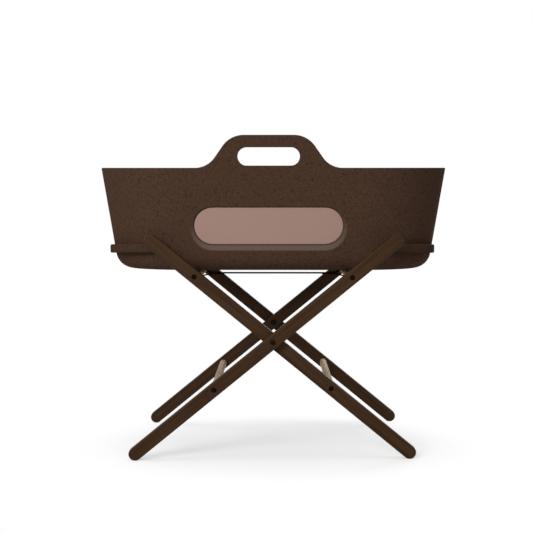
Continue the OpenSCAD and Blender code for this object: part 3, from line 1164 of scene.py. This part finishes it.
@dataclass
class Basket:
    """The felt basket: shell, end ledges, net windows, liner and base board."""

    plan: TubPlan = field(default_factory=TubPlan.from_frame)
    felt: float = 6 * MM
    edge_radius: float = 1.8 * MM
    edge_support: float = 1.2 * MM
    head_shift: float = -9.5 * MM
    window_height: float = 86.5 * MM
    window_at: float = 103 * MM
    window_end: float = 20.7 * MM
    bevel_low: float = 13 * MM
    bevel_top: float = 2 * MM
    bevel_side: float = 8 * MM
    bevel_soft: float = 2 * MM
    lip: float = 2.2 * MM
    net_border: float = 9 * MM
    net_play: float = 0.4 * MM
    net_thickness: float = 1.2 * MM
    net_depth: float = 3.2 * MM
    net_gap: float = 0.1 * MM
    liner_gap: float = 0.3 * MM
    liner: float = 3 * MM
    liner_radius: float = 1.3 * MM
    liner_drop: float = 12 * MM
    liner_border: float = 10 * MM
    quilt_pitch: float = 62 * MM
    quilt_rise: float = 4.2 * MM
    ledge_height: float = 20.5 * MM
    ledge_sink: float = 1 * MM
    ledge_shift: float = 2.2 * MM
    ledge_rise: float = 7 * MM
    ledge_corner: float = 140 * MM
    ledge_edge: float = 4 * MM
    ledge_gap: float = 0.15 * MM
    front_grip: Grip = Grip(
        rise=73.5 * MM, top_width=113 * MM, hole_width=141 * MM, hole_height=41 * MM,
        sill=5 * MM)
    rear_grip: Grip = Grip(
        rise=102 * MM, top_width=115 * MM, hole_width=182 * MM, hole_height=55 * MM,
        sill=21 * MM)
    shell_felt: FeltFinish = FeltFinish()
    # The ledges' felt is the shell's felt painted about a fifth darker: painted shade, so that
    # their upright faces look no lighter than the leaning wall.
    ledge_felt: FeltFinish = FeltFinish(
        "ledge_felt", dark=(0.038, 0.0208, 0.0130), body=(0.050, 0.0278, 0.0174),
        pale=(0.062, 0.0353, 0.0226))
    net: NetFinish = NetFinish()
    lining: ClothFinish = ClothFinish(
        "liner_cloth", body=(0.36, 0.235, 0.195), high=(0.47, 0.325, 0.275))
    binding: ClothFinish = ClothFinish(
        "binding", body=(0.27, 0.172, 0.142), high=(0.35, 0.235, 0.196))
    board: BoardFinish = BoardFinish(
        "board", colour=(0.27, 0.18, 0.10), speck=(0.34, 0.24, 0.15), roughness=0.7)

    # The longest stretches between points along the rim, a ledge and the liner's top.
    RIM_STEP, LEDGE_STEP, LINER_STEP = 9 * MM, 9 * MM, 8 * MM
    NET_SPACING = 8 * MM
    # How far the net's border bends forward at the end, and the rings from there into the
    # opening: the way past the border and the depth behind the net's face, in mm.
    NET_BEND = 0.3 * MM
    NET_STEP = ((0.2, 0.5), (0.7, 0.0), (4.0, 0.0))
    # Shares of a window bevel's bend, and where on the slope the bend ends.
    BEVEL_BEND = (0.25, 0.5, 0.75, 1.0)
    BEVEL_BEND_END = 0.22
    # Lines on the slope, as shares of its width and its depth.
    BEVEL_LINES = ((0.6, 0.6), (0.84, 0.84), (0.88, 1.0))
    # Share of the lip whose edge stands straight, next to the inner face.
    LIP_EDGE = 0.4
    # How much painted light, as a paler colour, each ring of a window gets, most of all on its
    # lower side, which faces up.
    BEVEL_PAINTED_LIGHT = (0.0, 0.0, 0.2, 0.6, 1.0, 1.0, 1.0, 0.9, 0.0, 0.0, 0.0, 0.0)
    PAINTED_LIGHT_POWER = 1.5
    # Shares of a ledge's room that its lower and upper roundings may take.
    LEDGE_LOW_ROOM, LEDGE_TOP_ROOM = 0.8, 0.9
    # Rings of a ledge's tip, as shares of its section and of its bulge.
    LEDGE_TIP = ((0.92, 0.35), (0.75, 0.7), (0.45, 0.95), (0.0, 1.0))
    # Section of the binding beside each face of the liner: the way in from that face and up
    # from the liner's top, in mm.
    BINDING = {
        Face.OUTER: ((0.0, 0.2), (0.0, 0.9), (0.6, 1.5)),
        Face.INNER: (
            (0.4, 1.5), (1.2, 0.8), (1.5, -0.6), (1.5, -8.6), (1.2, -9.6), (0.1, -9.8),
            (0.1, 0.1)),
    }

    @property
    def window_width(self) -> float:
        """Width of a window opening between the round ends."""
        return 2 * (self.plan.end_x + self.head_shift - self.window_end)

    @property
    def window_centre(self) -> Pair:
        """Middle of a window, as (u, slant)."""
        return self.head_shift, self.plan.slant(self.window_at)

    @property
    def liner_top(self) -> float:
        """Distance of the liner's top edge up the wall."""
        return self.plan.slant(self.plan.rim_height - self.liner_drop)

    def grip(self, side: Side) -> Grip:
        """Gives the grip of a long side."""
        return self.front_grip if side is Side.FRONT else self.rear_grip

    def liner_end_top(self, theta: np.ndarray) -> np.ndarray:
        """Gives the liner's top edge up the wall round an end, where it stays level."""
        return np.full(len(theta), self.liner_top)

    def build(self) -> list[Piece]:
        """Builds the basket's soft pieces and dresses its board.

        Returns:
            The pieces.
        """
        ledge, net = self.ledge_felt.material(), self.net.material()
        return [
            self.build_shell(self.shell_felt.material()),
            *(self.build_ledge(end, ledge) for end in End),
            *(self.build_net(side, net) for side in Side),
            self.build_liner(self.lining.material()),
            self.build_binding(self.binding.material()),
            *dress(self.board.material(), "base_board"),
        ]

    def hand_hole(self, side: Side) -> Opening:
        """Gives a grip's hand-hole with round edges.

        Args:
            side: The grip's long side.

        Returns:
            The opening.
        """
        grip = self.grip(side)
        centre = (self.head_shift, self.plan.rim_height + grip.sill + grip.hole_height / 2)
        loop, away = slot_loop(grip.hole_width, grip.hole_height, centre)
        loop[:, 1] = self.plan.slant(loop[:, 1])
        return Opening.rounded(
            loop, away, edge_profile(self.felt, self.edge_radius, self.edge_support))

    def window(self) -> Opening:
        """Gives a window opening with its wide bevel and its lip.

        Returns:
            The opening.
        """
        u, v = self.window_centre
        width, height = self.window_width, self.window_height
        wide = width + 2 * self.bevel_side
        tall = height + self.bevel_low + self.bevel_top
        outer, away = slot_loop(wide, tall, (u, v + (self.bevel_top - self.bevel_low) / 2))
        inner = slot_loop(width, height, (u, v))[0]
        strip = (self.bevel_soft + self.edge_support) * away

        def slope(across: float, down: float) -> np.ndarray:
            """Gives a line on the slope, at shares of its width and its depth."""
            return at_depth(outer + (inner - outer) * across, (self.felt - self.lip) * down)

        start, corner = at_depth(outer + self.bevel_soft * away, 0.0), slope(0.0, 0.0)
        end = slope(self.BEVEL_BEND_END, self.BEVEL_BEND_END)
        rings = [at_depth(outer + strip, 0.0), start]
        for t in self.BEVEL_BEND:
            rings.append(start * (1 - t) ** 2 + 2 * corner * t * (1 - t) + end * t**2)
        rings += [slope(across, down) for across, down in self.BEVEL_LINES]
        rings.append(at_depth(inner, self.felt - self.LIP_EDGE * self.lip))
        rings += [at_depth(inner, self.felt), at_depth(inner + strip, self.felt)]
        # Painted light: the lower side faces up, so its bevel is painted paler, as if lit from
        # above.
        lower = np.clip(0.5 - 0.5 * away[:, 1], 0.0, 1.0) ** self.PAINTED_LIGHT_POWER
        return Opening(rings, [lower * share for share in self.BEVEL_PAINTED_LIGHT])

    def build_shell(self, material: Material) -> Piece:
        """Builds the moulded felt shell.

        Args:
            material: The felt.

        Returns:
            The piece.
        """
        tops = {
            side: self.grip(side).top_line(self.plan, self.head_shift, self.RIM_STEP)
            for side in Side}
        skin = TubSkin(
            plan=self.plan, outside=0.0, inside=self.felt,
            edge=edge_profile(self.felt, self.edge_radius, self.edge_support),
            tops=tops, end_top=self.plan.rim_slant,
            openings={side: [self.hand_hole(side), self.window()] for side in Side},
            spacing=12 * MM, rows=14, end_steps=64,
        )
        return settle(skin.build("felt_tub", material), "basket", "felt", "felt_shell")

    def build_ledge(self, end: End, material: Material) -> Piece:
        """Builds the ledge round one end, with round edges and rounded tips.

        Args:
            end: The end of the basket.
            material: The felt.

        Returns:
            The piece.
        """
        node = "end_ledge_left" if end is End.HEAD else "end_ledge_right"
        low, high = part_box(node)
        start, length = sorted((abs(low.x), abs(high.x)))
        width, radius = high.y, self.ledge_corner
        corner_x = length - end.value * self.ledge_shift - radius
        path = spread_along(np.concatenate([
            [(start, -width)],
            arc((corner_x, radius - width), radius, -90.0, 0.0, steps=26),
            arc((corner_x, width - radius), radius, 0.0, 90.0, steps=26),
            [(start, width)],
        ]), self.LEDGE_STEP)
        core = np.stack([np.minimum(path[:, 0], self.plan.end_x), np.zeros(len(path))], axis=1)
        span = np.linalg.norm(path - core, axis=1)
        out = (path - core) / span[:, None]
        bottom = low.z - self.ledge_sink + self.ledge_rise * np.abs(path[:, 1]) / width
        rows = []
        for middle, way, reach, level in zip(core, out, span, bottom):
            section = self.ledge_section(reach, level)
            flat = middle + section[:, :1] * way
            rows.append(np.column_stack([end.value * flat[:, 0], flat[:, 1], section[:, 1]]))
        draft = MeshDraft()
        draft.add_grid(rows, closed=True)
        for row, after in ((rows[0], rows[1]), (rows[-1], rows[-2])):
            self.cap_ledge(draft, row, row - after)
        return settle(draft.build(f"ledge_{end.name.lower()}", material), "basket", "felt", node)

    def ledge_section(self, span: float, bottom: float) -> np.ndarray:
        """Gives the ledge's section as a closed loop of (reach, height).

        Args:
            span: Reach of the ledge's outer face.
            bottom: Height of its underside.

        Returns:
            The loop's points.
        """
        top, edge = bottom + self.ledge_height, self.ledge_edge
        wall_low, wall_top = (
            self.plan.wall(self.plan.slant(z - self.plan.floor_z), 0.0)[0] + self.ledge_gap
            for z in (bottom, top))
        low_r = min(edge, self.LEDGE_LOW_ROOM * (span - wall_low))
        top_r = min(edge, self.LEDGE_TOP_ROOM * (span - wall_top))
        # Where the ledge runs out into the wall, its upper edge falls away more slowly.
        fall = 3 * edge - 2 * top_r
        return np.concatenate([
            [(wall_low, bottom)],
            arc((span - low_r, bottom + low_r), low_r, -90.0, 0.0, steps=5),
            arc((0.0, 0.0), 1.0, 0.0, 90.0, steps=6) * (top_r, fall) + (span - top_r, top - fall),
            [(wall_top, top)],
        ])

    def cap_ledge(self, draft: MeshDraft, row: np.ndarray, outwards: np.ndarray) -> None:
        """Closes one tip of a ledge with a low dome.

        Args:
            draft: The ledge's draft.
            row: The last section.
            outwards: The step from the section before it.
        """
        middle = row.mean(axis=0)
        bulge = outwards / np.linalg.norm(outwards, axis=1, keepdims=True) * self.ledge_edge
        rings = [middle + (row - middle) * size + bulge * push for size, push in self.LEDGE_TIP]
        draft.add_grid([row, *rings], closed=True)

    def build_net(self, side: Side, material: Material) -> Piece:
        """Builds the net stretched behind one window.

        Args:
            side: The long side.
            material: The net.

        Returns:
            The piece.
        """
        border = 2 * self.net_border
        flat = (self.window_width + border, self.window_height + border)
        loop, away = slot_loop(*flat, self.window_centre)
        back, front, thick = self.felt + self.net_gap, self.net_depth, self.net_thickness
        step = self.net_border + self.net_play
        # From the border behind the felt forward into the opening, as (inset, depth).
        rings = [(0.0, back), (step - thick, back), (step, back - self.NET_BEND)]
        rings += [(step + past * MM, front + deep * MM) for past, deep in self.NET_STEP]
        draft = MeshDraft()

        def layer(line: np.ndarray, depth: float) -> np.ndarray:
            """Puts a line of (u, slant) at one depth in the wall."""
            return self.plan.side_wall(side, *line.T, depth)

        points, faces = fill_flat(loop - rings[-1][0] * away, [], self.NET_SPACING)
        for deeper in (0.0, thick):
            draft.add_grid([layer(loop - a * away, d + deeper) for a, d in rings], closed=True)
            draft.add_faces(faces, draft.add_points(layer(points, front + deeper)))
        draft.add_grid([layer(loop, back), layer(loop, back + thick)], closed=True)
        name = side.name.lower()
        net = draft.build(f"window_net_{name}", material)
        settle(net, "basket", "mesh", f"window_mesh_{name}")
        return net

    def quilt(self, around: np.ndarray, slant: np.ndarray) -> np.ndarray:
        """Gives the padding's rise in a diamond quilt, which closes on itself.

        Args:
            around: Distance round the basket.
            slant: Distance up the wall.

        Returns:
            The rise.
        """
        loop = 2 * self.plan.half_way
        pitch = loop / round(loop / self.quilt_pitch)
        first = np.abs(np.sin(math.pi * (around + slant) / pitch))
        second = np.abs(np.sin(math.pi * (around - slant) / pitch))
        return self.quilt_rise * np.sqrt(first * second)

    def build_liner(self, material: Material) -> Piece:
        """Builds the quilted liner inside the felt.

        Args:
            material: The lining's cloth.

        Returns:
            The piece.
        """
        outside, top = self.felt + self.liner_gap, self.liner_top
        line = np.array([(-self.plan.end_x, top), (self.plan.end_x, top)])
        profile = edge_profile(self.liner, self.liner_radius, self.edge_support)
        border = 2 * self.liner_border
        size = (self.window_width + border, self.window_height + border)
        hole = Opening.rounded(*slot_loop(*size, self.window_centre), profile, outside)
        skin = TubSkin(
            plan=self.plan, outside=outside, inside=outside + self.liner, edge=profile,
            tops={side: spread_along(line, self.LINER_STEP) for side in Side},
            end_top=self.liner_end_top,
            openings={side: [hole] for side in Side},
            spacing=5.5 * MM, rows=36, end_steps=110, puff=self.quilt,
        )
        liner = settle(skin.build("quilted_liner", material), "basket", "liner_cloth", "liner")
        return liner

    def build_binding(self, material: Material) -> Piece:
        """Builds the tape that binds the liner's top edge.

        Args:
            material: The tape's cloth.

        Returns:
            The piece.
        """
        outer = self.felt + self.liner_gap
        depths = {Face.OUTER: outer, Face.INNER: outer + self.liner}
        places = plan_places(self.plan.end_x, columns=40, angles=65)
        rows = []
        for face, corners in self.BINDING.items():
            for inwards, up in corners:
                reach, z = self.plan.wall(self.liner_top + up * MM, depths[face] + inwards * MM)
                rows.append(level_ring(*places, reach, z))
        draft = MeshDraft()
        draft.add_grid([*rows, rows[0]], closed=True)
        return settle(draft.build("liner_binding", material), "basket", "liner_cloth")


@dataclass
class Mattress:
    """The padded mattress with piping along its seams."""

    corner: float = 14 * MM
    crown: float = 6 * MM
    crown_edge_angle: float = 0.35
    inset: float = 4 * MM
    voxel: float = 6 * MM
    pressure: float = 4.0
    frames: int = 18
    quality: int = 4
    swell_limit: float = 6 * MM
    piping: float = 2.4 * MM
    piping_sides: int = 8
    low_seam: float = 0.16
    top_seam: float = 0.12
    cover: ClothFinish = ClothFinish(
        "mattress_cloth", body=(0.70, 0.655, 0.575), high=(0.80, 0.76, 0.68),
        across=(Axis.X, Axis.Y))

    CROWN_ROWS = 9

    def build(self) -> list[Piece]:
        """Builds the pad and its piping.

        Returns:
            The pieces.
        """
        cloth = self.cover.material()
        pad = self.build_pad(cloth)
        return [pad, self.build_piping(pad, cloth)]

    def blank(self) -> Piece:
        """Builds the plain pad, a little smaller than its space.

        Returns:
            The pad, without a material.
        """
        low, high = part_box("mattress")
        floor, top = low.z + self.inset / 2, high.z - self.crown - self.inset / 2
        radius = self.corner
        flat = high.y - self.inset - radius
        turns = np.linspace(self.crown_edge_angle, QUARTER, self.CROWN_ROWS)
        section = np.concatenate([
            [(0.0, floor), (flat / 2, floor)],
            arc((flat, floor + radius), radius, -90.0, 0.0, steps=5),
            arc((flat, top - radius), radius, 0.0, 90.0, steps=5)[:-1],
            np.column_stack([flat * np.cos(turns), top + self.crown * np.sin(turns)]),
        ])
        places = plan_places(high.x - high.y, columns=30, angles=33)
        draft = MeshDraft()
        draft.add_grid([level_ring(*places, reach, z) for reach, z in section], closed=True)
        return draft.build("mattress_pad")

    def inflate(self, pad: Piece) -> None:
        """Blows the cover up a little, as its filling does, and keeps the result.

        Args:
            pad: The pad, which is remeshed evenly first.
        """
        remesh = pad.modifiers.new("even", "REMESH")
        remesh.mode = "VOXEL"
        remesh.voxel_size = self.voxel
        view = bpy.context.evaluated_depsgraph_get()
        even = bpy.data.meshes.new_from_object(pad.evaluated_get(view))
        pad.modifiers.clear()
        pad.data = even
        rest = points_of(pad)
        cloth = pad.modifiers.new("fill", "CLOTH")
        cloth.settings.use_pressure = True
        cloth.settings.uniform_pressure_force = self.pressure
        cloth.settings.effector_weights.gravity = 0.0
        cloth.settings.quality = self.quality
        cloth.point_cache.frame_start = 1
        cloth.point_cache.frame_end = self.frames
        scene = bpy.context.scene
        for step in range(1, self.frames + 1):
            scene.frame_set(step)
        blown = points_of(pad.evaluated_get(bpy.context.evaluated_depsgraph_get()))
        pad.modifiers.clear()
        scene.frame_set(1)
        move = blown - rest
        size = np.linalg.norm(move, axis=1, keepdims=True)
        place = rest + move * np.minimum(1.0, self.swell_limit / np.maximum(size, TINY))
        low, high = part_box("mattress")
        place = np.clip(place, np.array(low), np.array(high))
        pad.data.vertices.foreach_set("co", place.astype(np.float32).ravel())
        pad.data.update()

    def build_pad(self, material: Material) -> Piece:
        """Builds the pad and blows it up.

        Args:
            material: The cover's cloth.

        Returns:
            The piece.
        """
        pad = self.blank()
        self.inflate(pad)
        pad.data.materials.clear()
        pad.data.materials.append(material)
        for face in pad.data.polygons:
            face.use_smooth = True
        smooth = pad.modifiers.new("smooth", "SUBSURF")
        smooth.levels = smooth.render_levels = 1
        settle(pad, "mattress", "mattress_cloth", "mattress")
        return pad

    def build_piping(self, pad: Piece, material: Material) -> Piece:
        """Builds the two rows of piping on the pad's seams.

        Args:
            pad: The finished pad.
            material: The cover's cloth.

        Returns:
            The piece.
        """
        low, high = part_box("mattress")
        tall = high.z - low.z
        tree = BVHTree.FromObject(pad, bpy.context.evaluated_depsgraph_get())
        draft = MeshDraft()
        for z in (low.z + self.low_seam * tall, high.z - self.crown - self.top_seam * tall):
            path = []
            for core_x, angle in self.round_stations(high.x - high.y):
                out = Vector((math.cos(angle), math.sin(angle), 0.0))
                far = Vector((core_x, 0.0, z)) + out * 2 * high.y
                path.append((tree.ray_cast(far, -out)[0], out))
            rows = []
            for turn in circle(self.piping_sides):
                aside, rise = math.cos(turn) * self.piping, math.sin(turn) * self.piping
                rows.append(np.array([tuple(hit + out * aside + UP * rise) for hit, out in path]))
            draft.add_grid([*rows, rows[0]], closed=True)
        return settle(draft.build("mattress_piping", material), "mattress", "mattress_cloth")

    def round_stations(self, end_x: float) -> list[Pair]:
        """Gives places round the pad's plan.

        Args:
            end_x: X of the middle of a round end.

        Returns:
            The X of each place's middle, and the direction from it in radians.
        """
        straight, angles = plan_places(end_x, columns=60, angles=61)
        front = [(x, -QUARTER) for x in straight[:-1]]
        foot = [(end_x, a) for a in angles[:-1]]
        rear = [(x, QUARTER) for x in straight[:0:-1]]
        head = [(-end_x, math.pi - a) for a in angles[:0:-1]]
        return [*front, *foot, *rear, *head]


@dataclass
class SupportStrap:
    """The webbing strap that is sewn round both upper rails."""

    thickness: float = 2 * MM
    loop_gap: float = 0.35 * MM
    drop: float = 2.8 * MM
    sewn_from: float = 27 * MM
    lap: float = 58 * MM
    lap_gap: float = 0.15 * MM
    seam_edge: float = 5 * MM
    seam_ends: float = 9 * MM
    stitch: float = 3.2 * MM
    stitch_gap: float = 1.3 * MM
    thread: float = 0.45 * MM
    webbing_finish: WebbingFinish = WebbingFinish()
    thread_finish: BoardFinish = BoardFinish(
        "sewing_thread", colour=(0.060, 0.046, 0.036), speck=(0.085, 0.066, 0.052), roughness=0.8)

    SPACING = 1.5 * MM
    SMOOTHINGS = 4
    THREAD_SIDES = 6
    # A stitch along its length, as shares of that and of the thread's radius.
    STITCH_SHAPE = ((-0.5, 0.15), (-0.35, 0.85), (0.0, 1.0), (0.35, 0.85), (0.5, 0.15))
    # Height of a stitch over the tape as a share of the thread's radius.
    STITCH_RISE = 0.8

    def route(self) -> np.ndarray:
        """Lays the strap from lap end to lap end.

        Returns:
            The line's points in the XZ plane.
        """
        low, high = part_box("upper_rail_a")
        rail = np.array([(low.x + high.x) / 2, (low.z + high.z) / 2])
        radius = (high.x - low.x) / 2 + self.loop_gap + self.thickness / 2
        level = rail[1] - self.drop
        under = level - self.thickness - self.lap_gap
        upper = np.array([rail[0] - self.sewn_from, level])
        lower = np.array([rail[0] - self.sewn_from, under])
        start = self.touch(lower, rail, radius, Stretch.LOWER)
        end = self.touch(upper, rail, radius, Stretch.UPPER)
        loop = arc(rail, radius, start, end, steps=40)
        half = np.concatenate([[(rail[0] - self.lap, under), lower], loop, [upper]])
        line = spread_along(np.concatenate([half, half[::-1] * (-1, 1)]), self.SPACING)
        for _ in range(self.SMOOTHINGS):
            line[1:-1] = (line[:-2] + 2 * line[1:-1] + line[2:]) / 4
        return line

    def touch(
            self, point: np.ndarray, centre: np.ndarray, radius: float,
            stretch: Stretch) -> float:
        """Finds where a straight stretch meets the loop round a rail.

        Args:
            point: The stretch's other end.
            centre: The rail's middle.
            radius: The loop's radius.
            stretch: The stretch that leaves the loop there.

        Returns:
            The angle of the place, in degrees, between -180 and 180.
        """
        away = point - centre
        facing = math.atan2(away[1], away[0])
        opening = math.acos(radius / np.linalg.norm(away))
        angle = math.degrees(facing - stretch.value * opening)
        return (angle + 180.0) % 360.0 - 180.0

    def build(self) -> Piece:
        """Builds the strap with its sewn laps.

        Returns:
            The piece.
        """
        low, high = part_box("support_strap")
        half, radius = (high.y - low.y) / 2, self.thickness / 2
        line = self.route()
        steps = np.linalg.norm(np.diff(line, axis=0), axis=1)
        along = np.concatenate([[0.0], np.cumsum(steps)])
        edge = arc((half - radius, 0.0), radius, -90.0, 90.0, steps=5)
        face = np.array([(share * half, radius) for share in (0.5, 0.0, -0.5)])
        section = np.concatenate([edge, face, -edge, -face])
        rows = []
        for place, out in zip(line, into_right(line)):
            x, z = (place + section[:, 1:] * out).T
            rows.append(np.column_stack([x, section[:, 0], z]))
        draft = MeshDraft()
        draft.add_grid(rows, closed=True, along=list(along))
        for last in (0, -1):
            draft.add_cap(rows[last], along=along[last])
        self.sew(draft, line, half)
        strap = draft.build(
            "webbing_strap", self.webbing_finish.material(), self.thread_finish.material())
        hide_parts("support_strap")
        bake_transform(strap)
        return strap

    def sew(self, draft: MeshDraft, line: np.ndarray, half: float) -> None:
        """Adds the box-and-cross stitching on both laps.

        Args:
            draft: The strap's draft.
            line: The strap's route.
            half: Half the tape's width.
        """
        level = float(line[len(line) // 2, 1])
        top = level + self.thickness / 2
        bottom = top - 2 * self.thickness - self.lap_gap
        far = abs(line[0, 0]) + self.seam_edge
        near = far + self.lap - self.sewn_from - self.seam_ends
        edge = half - self.seam_edge
        a, b, c, d = np.array([(near, -edge), (far, -edge), (far, edge), (near, edge)])
        for mirror in ((-1, 1), (1, 1)):
            for start, end in ((a, b), (b, c), (c, d), (d, a), (a, c), (b, d)):
                for z in (top, bottom):
                    self.run_of_stitches(draft, start * mirror, end * mirror, z)

    def run_of_stitches(
            self, draft: MeshDraft, start: np.ndarray, end: np.ndarray, z: float) -> None:
        """Adds one straight row of stitches.

        Args:
            draft: The strap's draft.
            start: The row's first place in X and Y.
            end: Its last place.
            z: Height of the tape's face.
        """
        length = float(np.linalg.norm(end - start))
        ahead = (end - start) / length
        aside = np.array([-ahead[1], ahead[0]])
        count = max(1, int(length / (self.stitch + self.stitch_gap)))
        angles = circle(self.THREAD_SIDES)
        for i in range(count):
            middle = start + ahead * length / count * (i + 0.5)
            rows = []
            for share, fat in self.STITCH_SHAPE:
                thick = self.thread * fat
                place = middle + ahead * self.stitch * share
                flat = place + np.outer(np.cos(angles) * thick, aside)
                rows.append(np.column_stack([flat, z + np.sin(angles) * thick * self.STITCH_RISE]))
            draft.add_grid(rows, closed=True, slot=1)
            for row in (rows[0], rows[-1]):
                draft.add_cap(row, slot=1)


@dataclass
class Stand:
    """The folding stand: two crossing frames, their fasteners and the strap."""

    legs: WoodFinish = WoodFinish(
        "leg_wood", dark=(0.021, 0.0090, 0.0030), body=(0.0395, 0.0176, 0.0058),
        pale=(0.056, 0.0266, 0.0100), roughness=0.5, gloss=0.1, pore_share=0.6)
    rails: WoodFinish = WoodFinish(
        "rail_wood", dark=(0.255, 0.168, 0.092), body=(0.365, 0.250, 0.144),
        pale=(0.455, 0.332, 0.203), roughness=0.5, gloss=0.06, pore_share=0.35)
    steel: MetalFinish = MetalFinish(
        "black_steel", colour=(0.010, 0.0052, 0.0030), worn=(0.016, 0.0085, 0.0050),
        metallic=0.0, roughness=0.42, gloss=0.03)
    brass: MetalFinish = MetalFinish(
        "insert_brass", colour=(0.60, 0.46, 0.22), worn=(0.50, 0.36, 0.16),
        metallic=1.0, roughness=0.35)
    nylon: BoardFinish = BoardFinish(
        "washer_nylon", colour=(0.018, 0.016, 0.015), speck=(0.030, 0.027, 0.025), roughness=0.6)
    strap: SupportStrap = field(default_factory=SupportStrap)

    def build(self) -> list[Piece]:
        """Dresses the stand's solids and builds its strap.

        Returns:
            The pieces.
        """
        steel, brass, nylon = self.steel.material(), self.brass.material(), self.nylon.material()
        rail = self.rails.material(Grain.RAIL)
        pieces: list[Piece] = []
        for key, grain in (("a", Grain.LEG_A), ("b", Grain.LEG_B)):
            pieces += dress(self.legs.material(grain), f"leg_{key}_front", f"leg_{key}_rear")
            pieces += dress(rail, f"upper_rail_{key}", f"lower_rail_{key}")
            pieces += dress(steel, f"rail_bolts_{key}")
            pieces += dress(brass, f"rail_inserts_{key}")
        for place in ("front", "rear"):
            pieces += dress(steel, f"pivot_bolt_{place}", f"pivot_nut_{place}")
            pieces += dress(nylon, f"pivot_washer_{place}")
        return [*pieces, self.strap.build()]


@dataclass(frozen=True)
class Lamp:
    """A soft square lamp that looks at a point."""

    name: str
    place: Triple
    target: Triple
    size: float
    watts: float

    def build(self) -> None:
        """Adds the lamp to the scene."""
        light = bpy.data.lights.new(self.name, "AREA")
        light.size = self.size
        light.energy = self.watts
        lamp = bpy.data.objects.new(self.name, light)
        lamp.location = self.place
        way = Vector(self.target) - Vector(self.place)
        lamp.rotation_euler = way.to_track_quat("-Z", "Y").to_euler()
        bpy.context.scene.collection.objects.link(lamp)


@dataclass
class Studio:
    """The white floor, the light and the camera."""

    camera_place: Triple = (0.00768, -2.69247, 0.56636)
    camera_pitch: float = math.radians(-2.922)
    camera_turn: float = math.radians(0.513)
    lens: float = 73.69
    sensor: float = 36.0
    sky: float = 0.42
    floor_colour: float = 0.52
    floor_glow: float = 0.475
    # The floor stays grey inside an oval round the stand and fades to white outside it: painted
    # shade shaped and placed like a soft shadow, with the rendered shadows inside it.
    painted_shade_fade: Pair = (0.36, 0.50)
    painted_shade_middle: Triple = (0.0, 0.08, 0.0)
    painted_shade_squash: float = 1.25
    floor_size: float = 40.0
    floor_drop: float = 0.3 * MM
    lamps: tuple[Lamp, ...] = (
        Lamp("key", (-1.75, -3.4, 2.1), (0.0, 0.0, 0.45), size=1.8, watts=111.0),
        Lamp("top", (0.0, 0.5, 3.4), (0.0, 0.0, 0.4), size=3.2, watts=63.0),
        Lamp("back", (1.3, 3.4, 1.9), (0.0, 0.0, 0.45), size=2.0, watts=36.0),
    )

    def build(self) -> None:
        """Sets the scene round the object."""
        bpy.context.scene.view_settings.view_transform = "Standard"
        self.build_sky()
        self.build_floor()
        self.build_camera()
        for lamp in self.lamps:
            lamp.build()

    def build_sky(self) -> None:
        """Makes a sky that lights softly and looks white."""
        world = bpy.data.worlds.new("sky")
        world.use_nodes = True
        bench = NodeBench(world.node_tree)
        sky = bench.tree.nodes["Background"].inputs
        bench.feed(sky["Color"], WHITE)
        bench.feed(sky["Strength"], bench.level(bench.seen(), 0.0, 1.0, start=self.sky))
        bpy.context.scene.world = world

    def build_floor(self) -> None:
        """Makes a pale floor that keeps the shadow, stays grey in an oval of painted shade round
        the stand and fades to white.
        """
        square = np.array([(-1.0, -1.0, 0.0), (1.0, -1.0, 0.0), (1.0, 1.0, 0.0), (-1.0, 1.0, 0.0)])
        draft = MeshDraft()
        draft.add_cap(square * self.floor_size / 2 - (0.0, 0.0, self.floor_drop))
        floor = draft.build("floor", self.floor_material())

    def floor_material(self) -> Material:
        """Makes the floor's material, which is clear when it is seen from below.

        Returns:
            The material.
        """
        bench = MaterialBench(
            "floor", Roughness=0.9, Specular_IOR_Level=0.0,
            Base_Color=(self.floor_colour,) * 3, Emission_Color=WHITE)
        seen = bench.seen()
        bench.shade("Emission Strength", bench.sum(Sum.MULTIPLY, seen, self.floor_glow))
        # Painted shade: the oval, set a little forward of the stand, is where the grey lit floor
        # shows before it fades to white.
        painted_shade_oval = bench.place(stretch=(1.0, self.painted_shade_squash, 1.0))
        moved = bench.add("VectorMath", {0: painted_shade_oval, 1: self.painted_shade_middle}, operation="ADD").outputs[0]
        far = bench.add("VectorMath", {0: moved}, operation="LENGTH").outputs["Value"]
        fade = bench.sum(Sum.MULTIPLY, seen, bench.level(far, *self.painted_shade_fade))
        white = bench.add("Emission", {"Strength": seen}).outputs[0]
        above = bench.add("MixShader", {0: fade, 1: bench.shader.outputs[0], 2: white}).outputs[0]
        below = bench.add("BsdfTransparent").outputs[0]
        from_below = bench.add("NewGeometry").outputs["Backfacing"]
        surface = bench.add("MixShader", {0: from_below, 1: above, 2: below}).outputs[0]
        bench.feed(bench.tree.nodes["Material Output"].inputs["Surface"], surface)
        return bench.material

    def build_camera(self) -> None:
        """Adds the camera at the photograph's place."""
        data = bpy.data.cameras.new("camera")
        data.lens, data.sensor_width = self.lens, self.sensor
        camera = bpy.data.objects.new("camera", data)
        camera.location = self.camera_place
        camera.rotation_euler = (QUARTER + self.camera_pitch, 0.0, self.camera_turn)
        bpy.context.scene.collection.objects.link(camera)
        bpy.context.scene.camera = camera


def main() -> None:
    """Builds the studio, then the sub-assemblies in order, and reports each piece."""
    logging.basicConfig(level=logging.INFO, format="%(message)s")
    Studio().build()
    for assembly in (Stand, Basket, Mattress):
        for piece in assembly().build():
            mesh = piece.data
            LOG.info("%s: %d faces, %s", piece.name, len(mesh.polygons), mesh.materials[0].name)


if __name__ == "__main__":
    main()
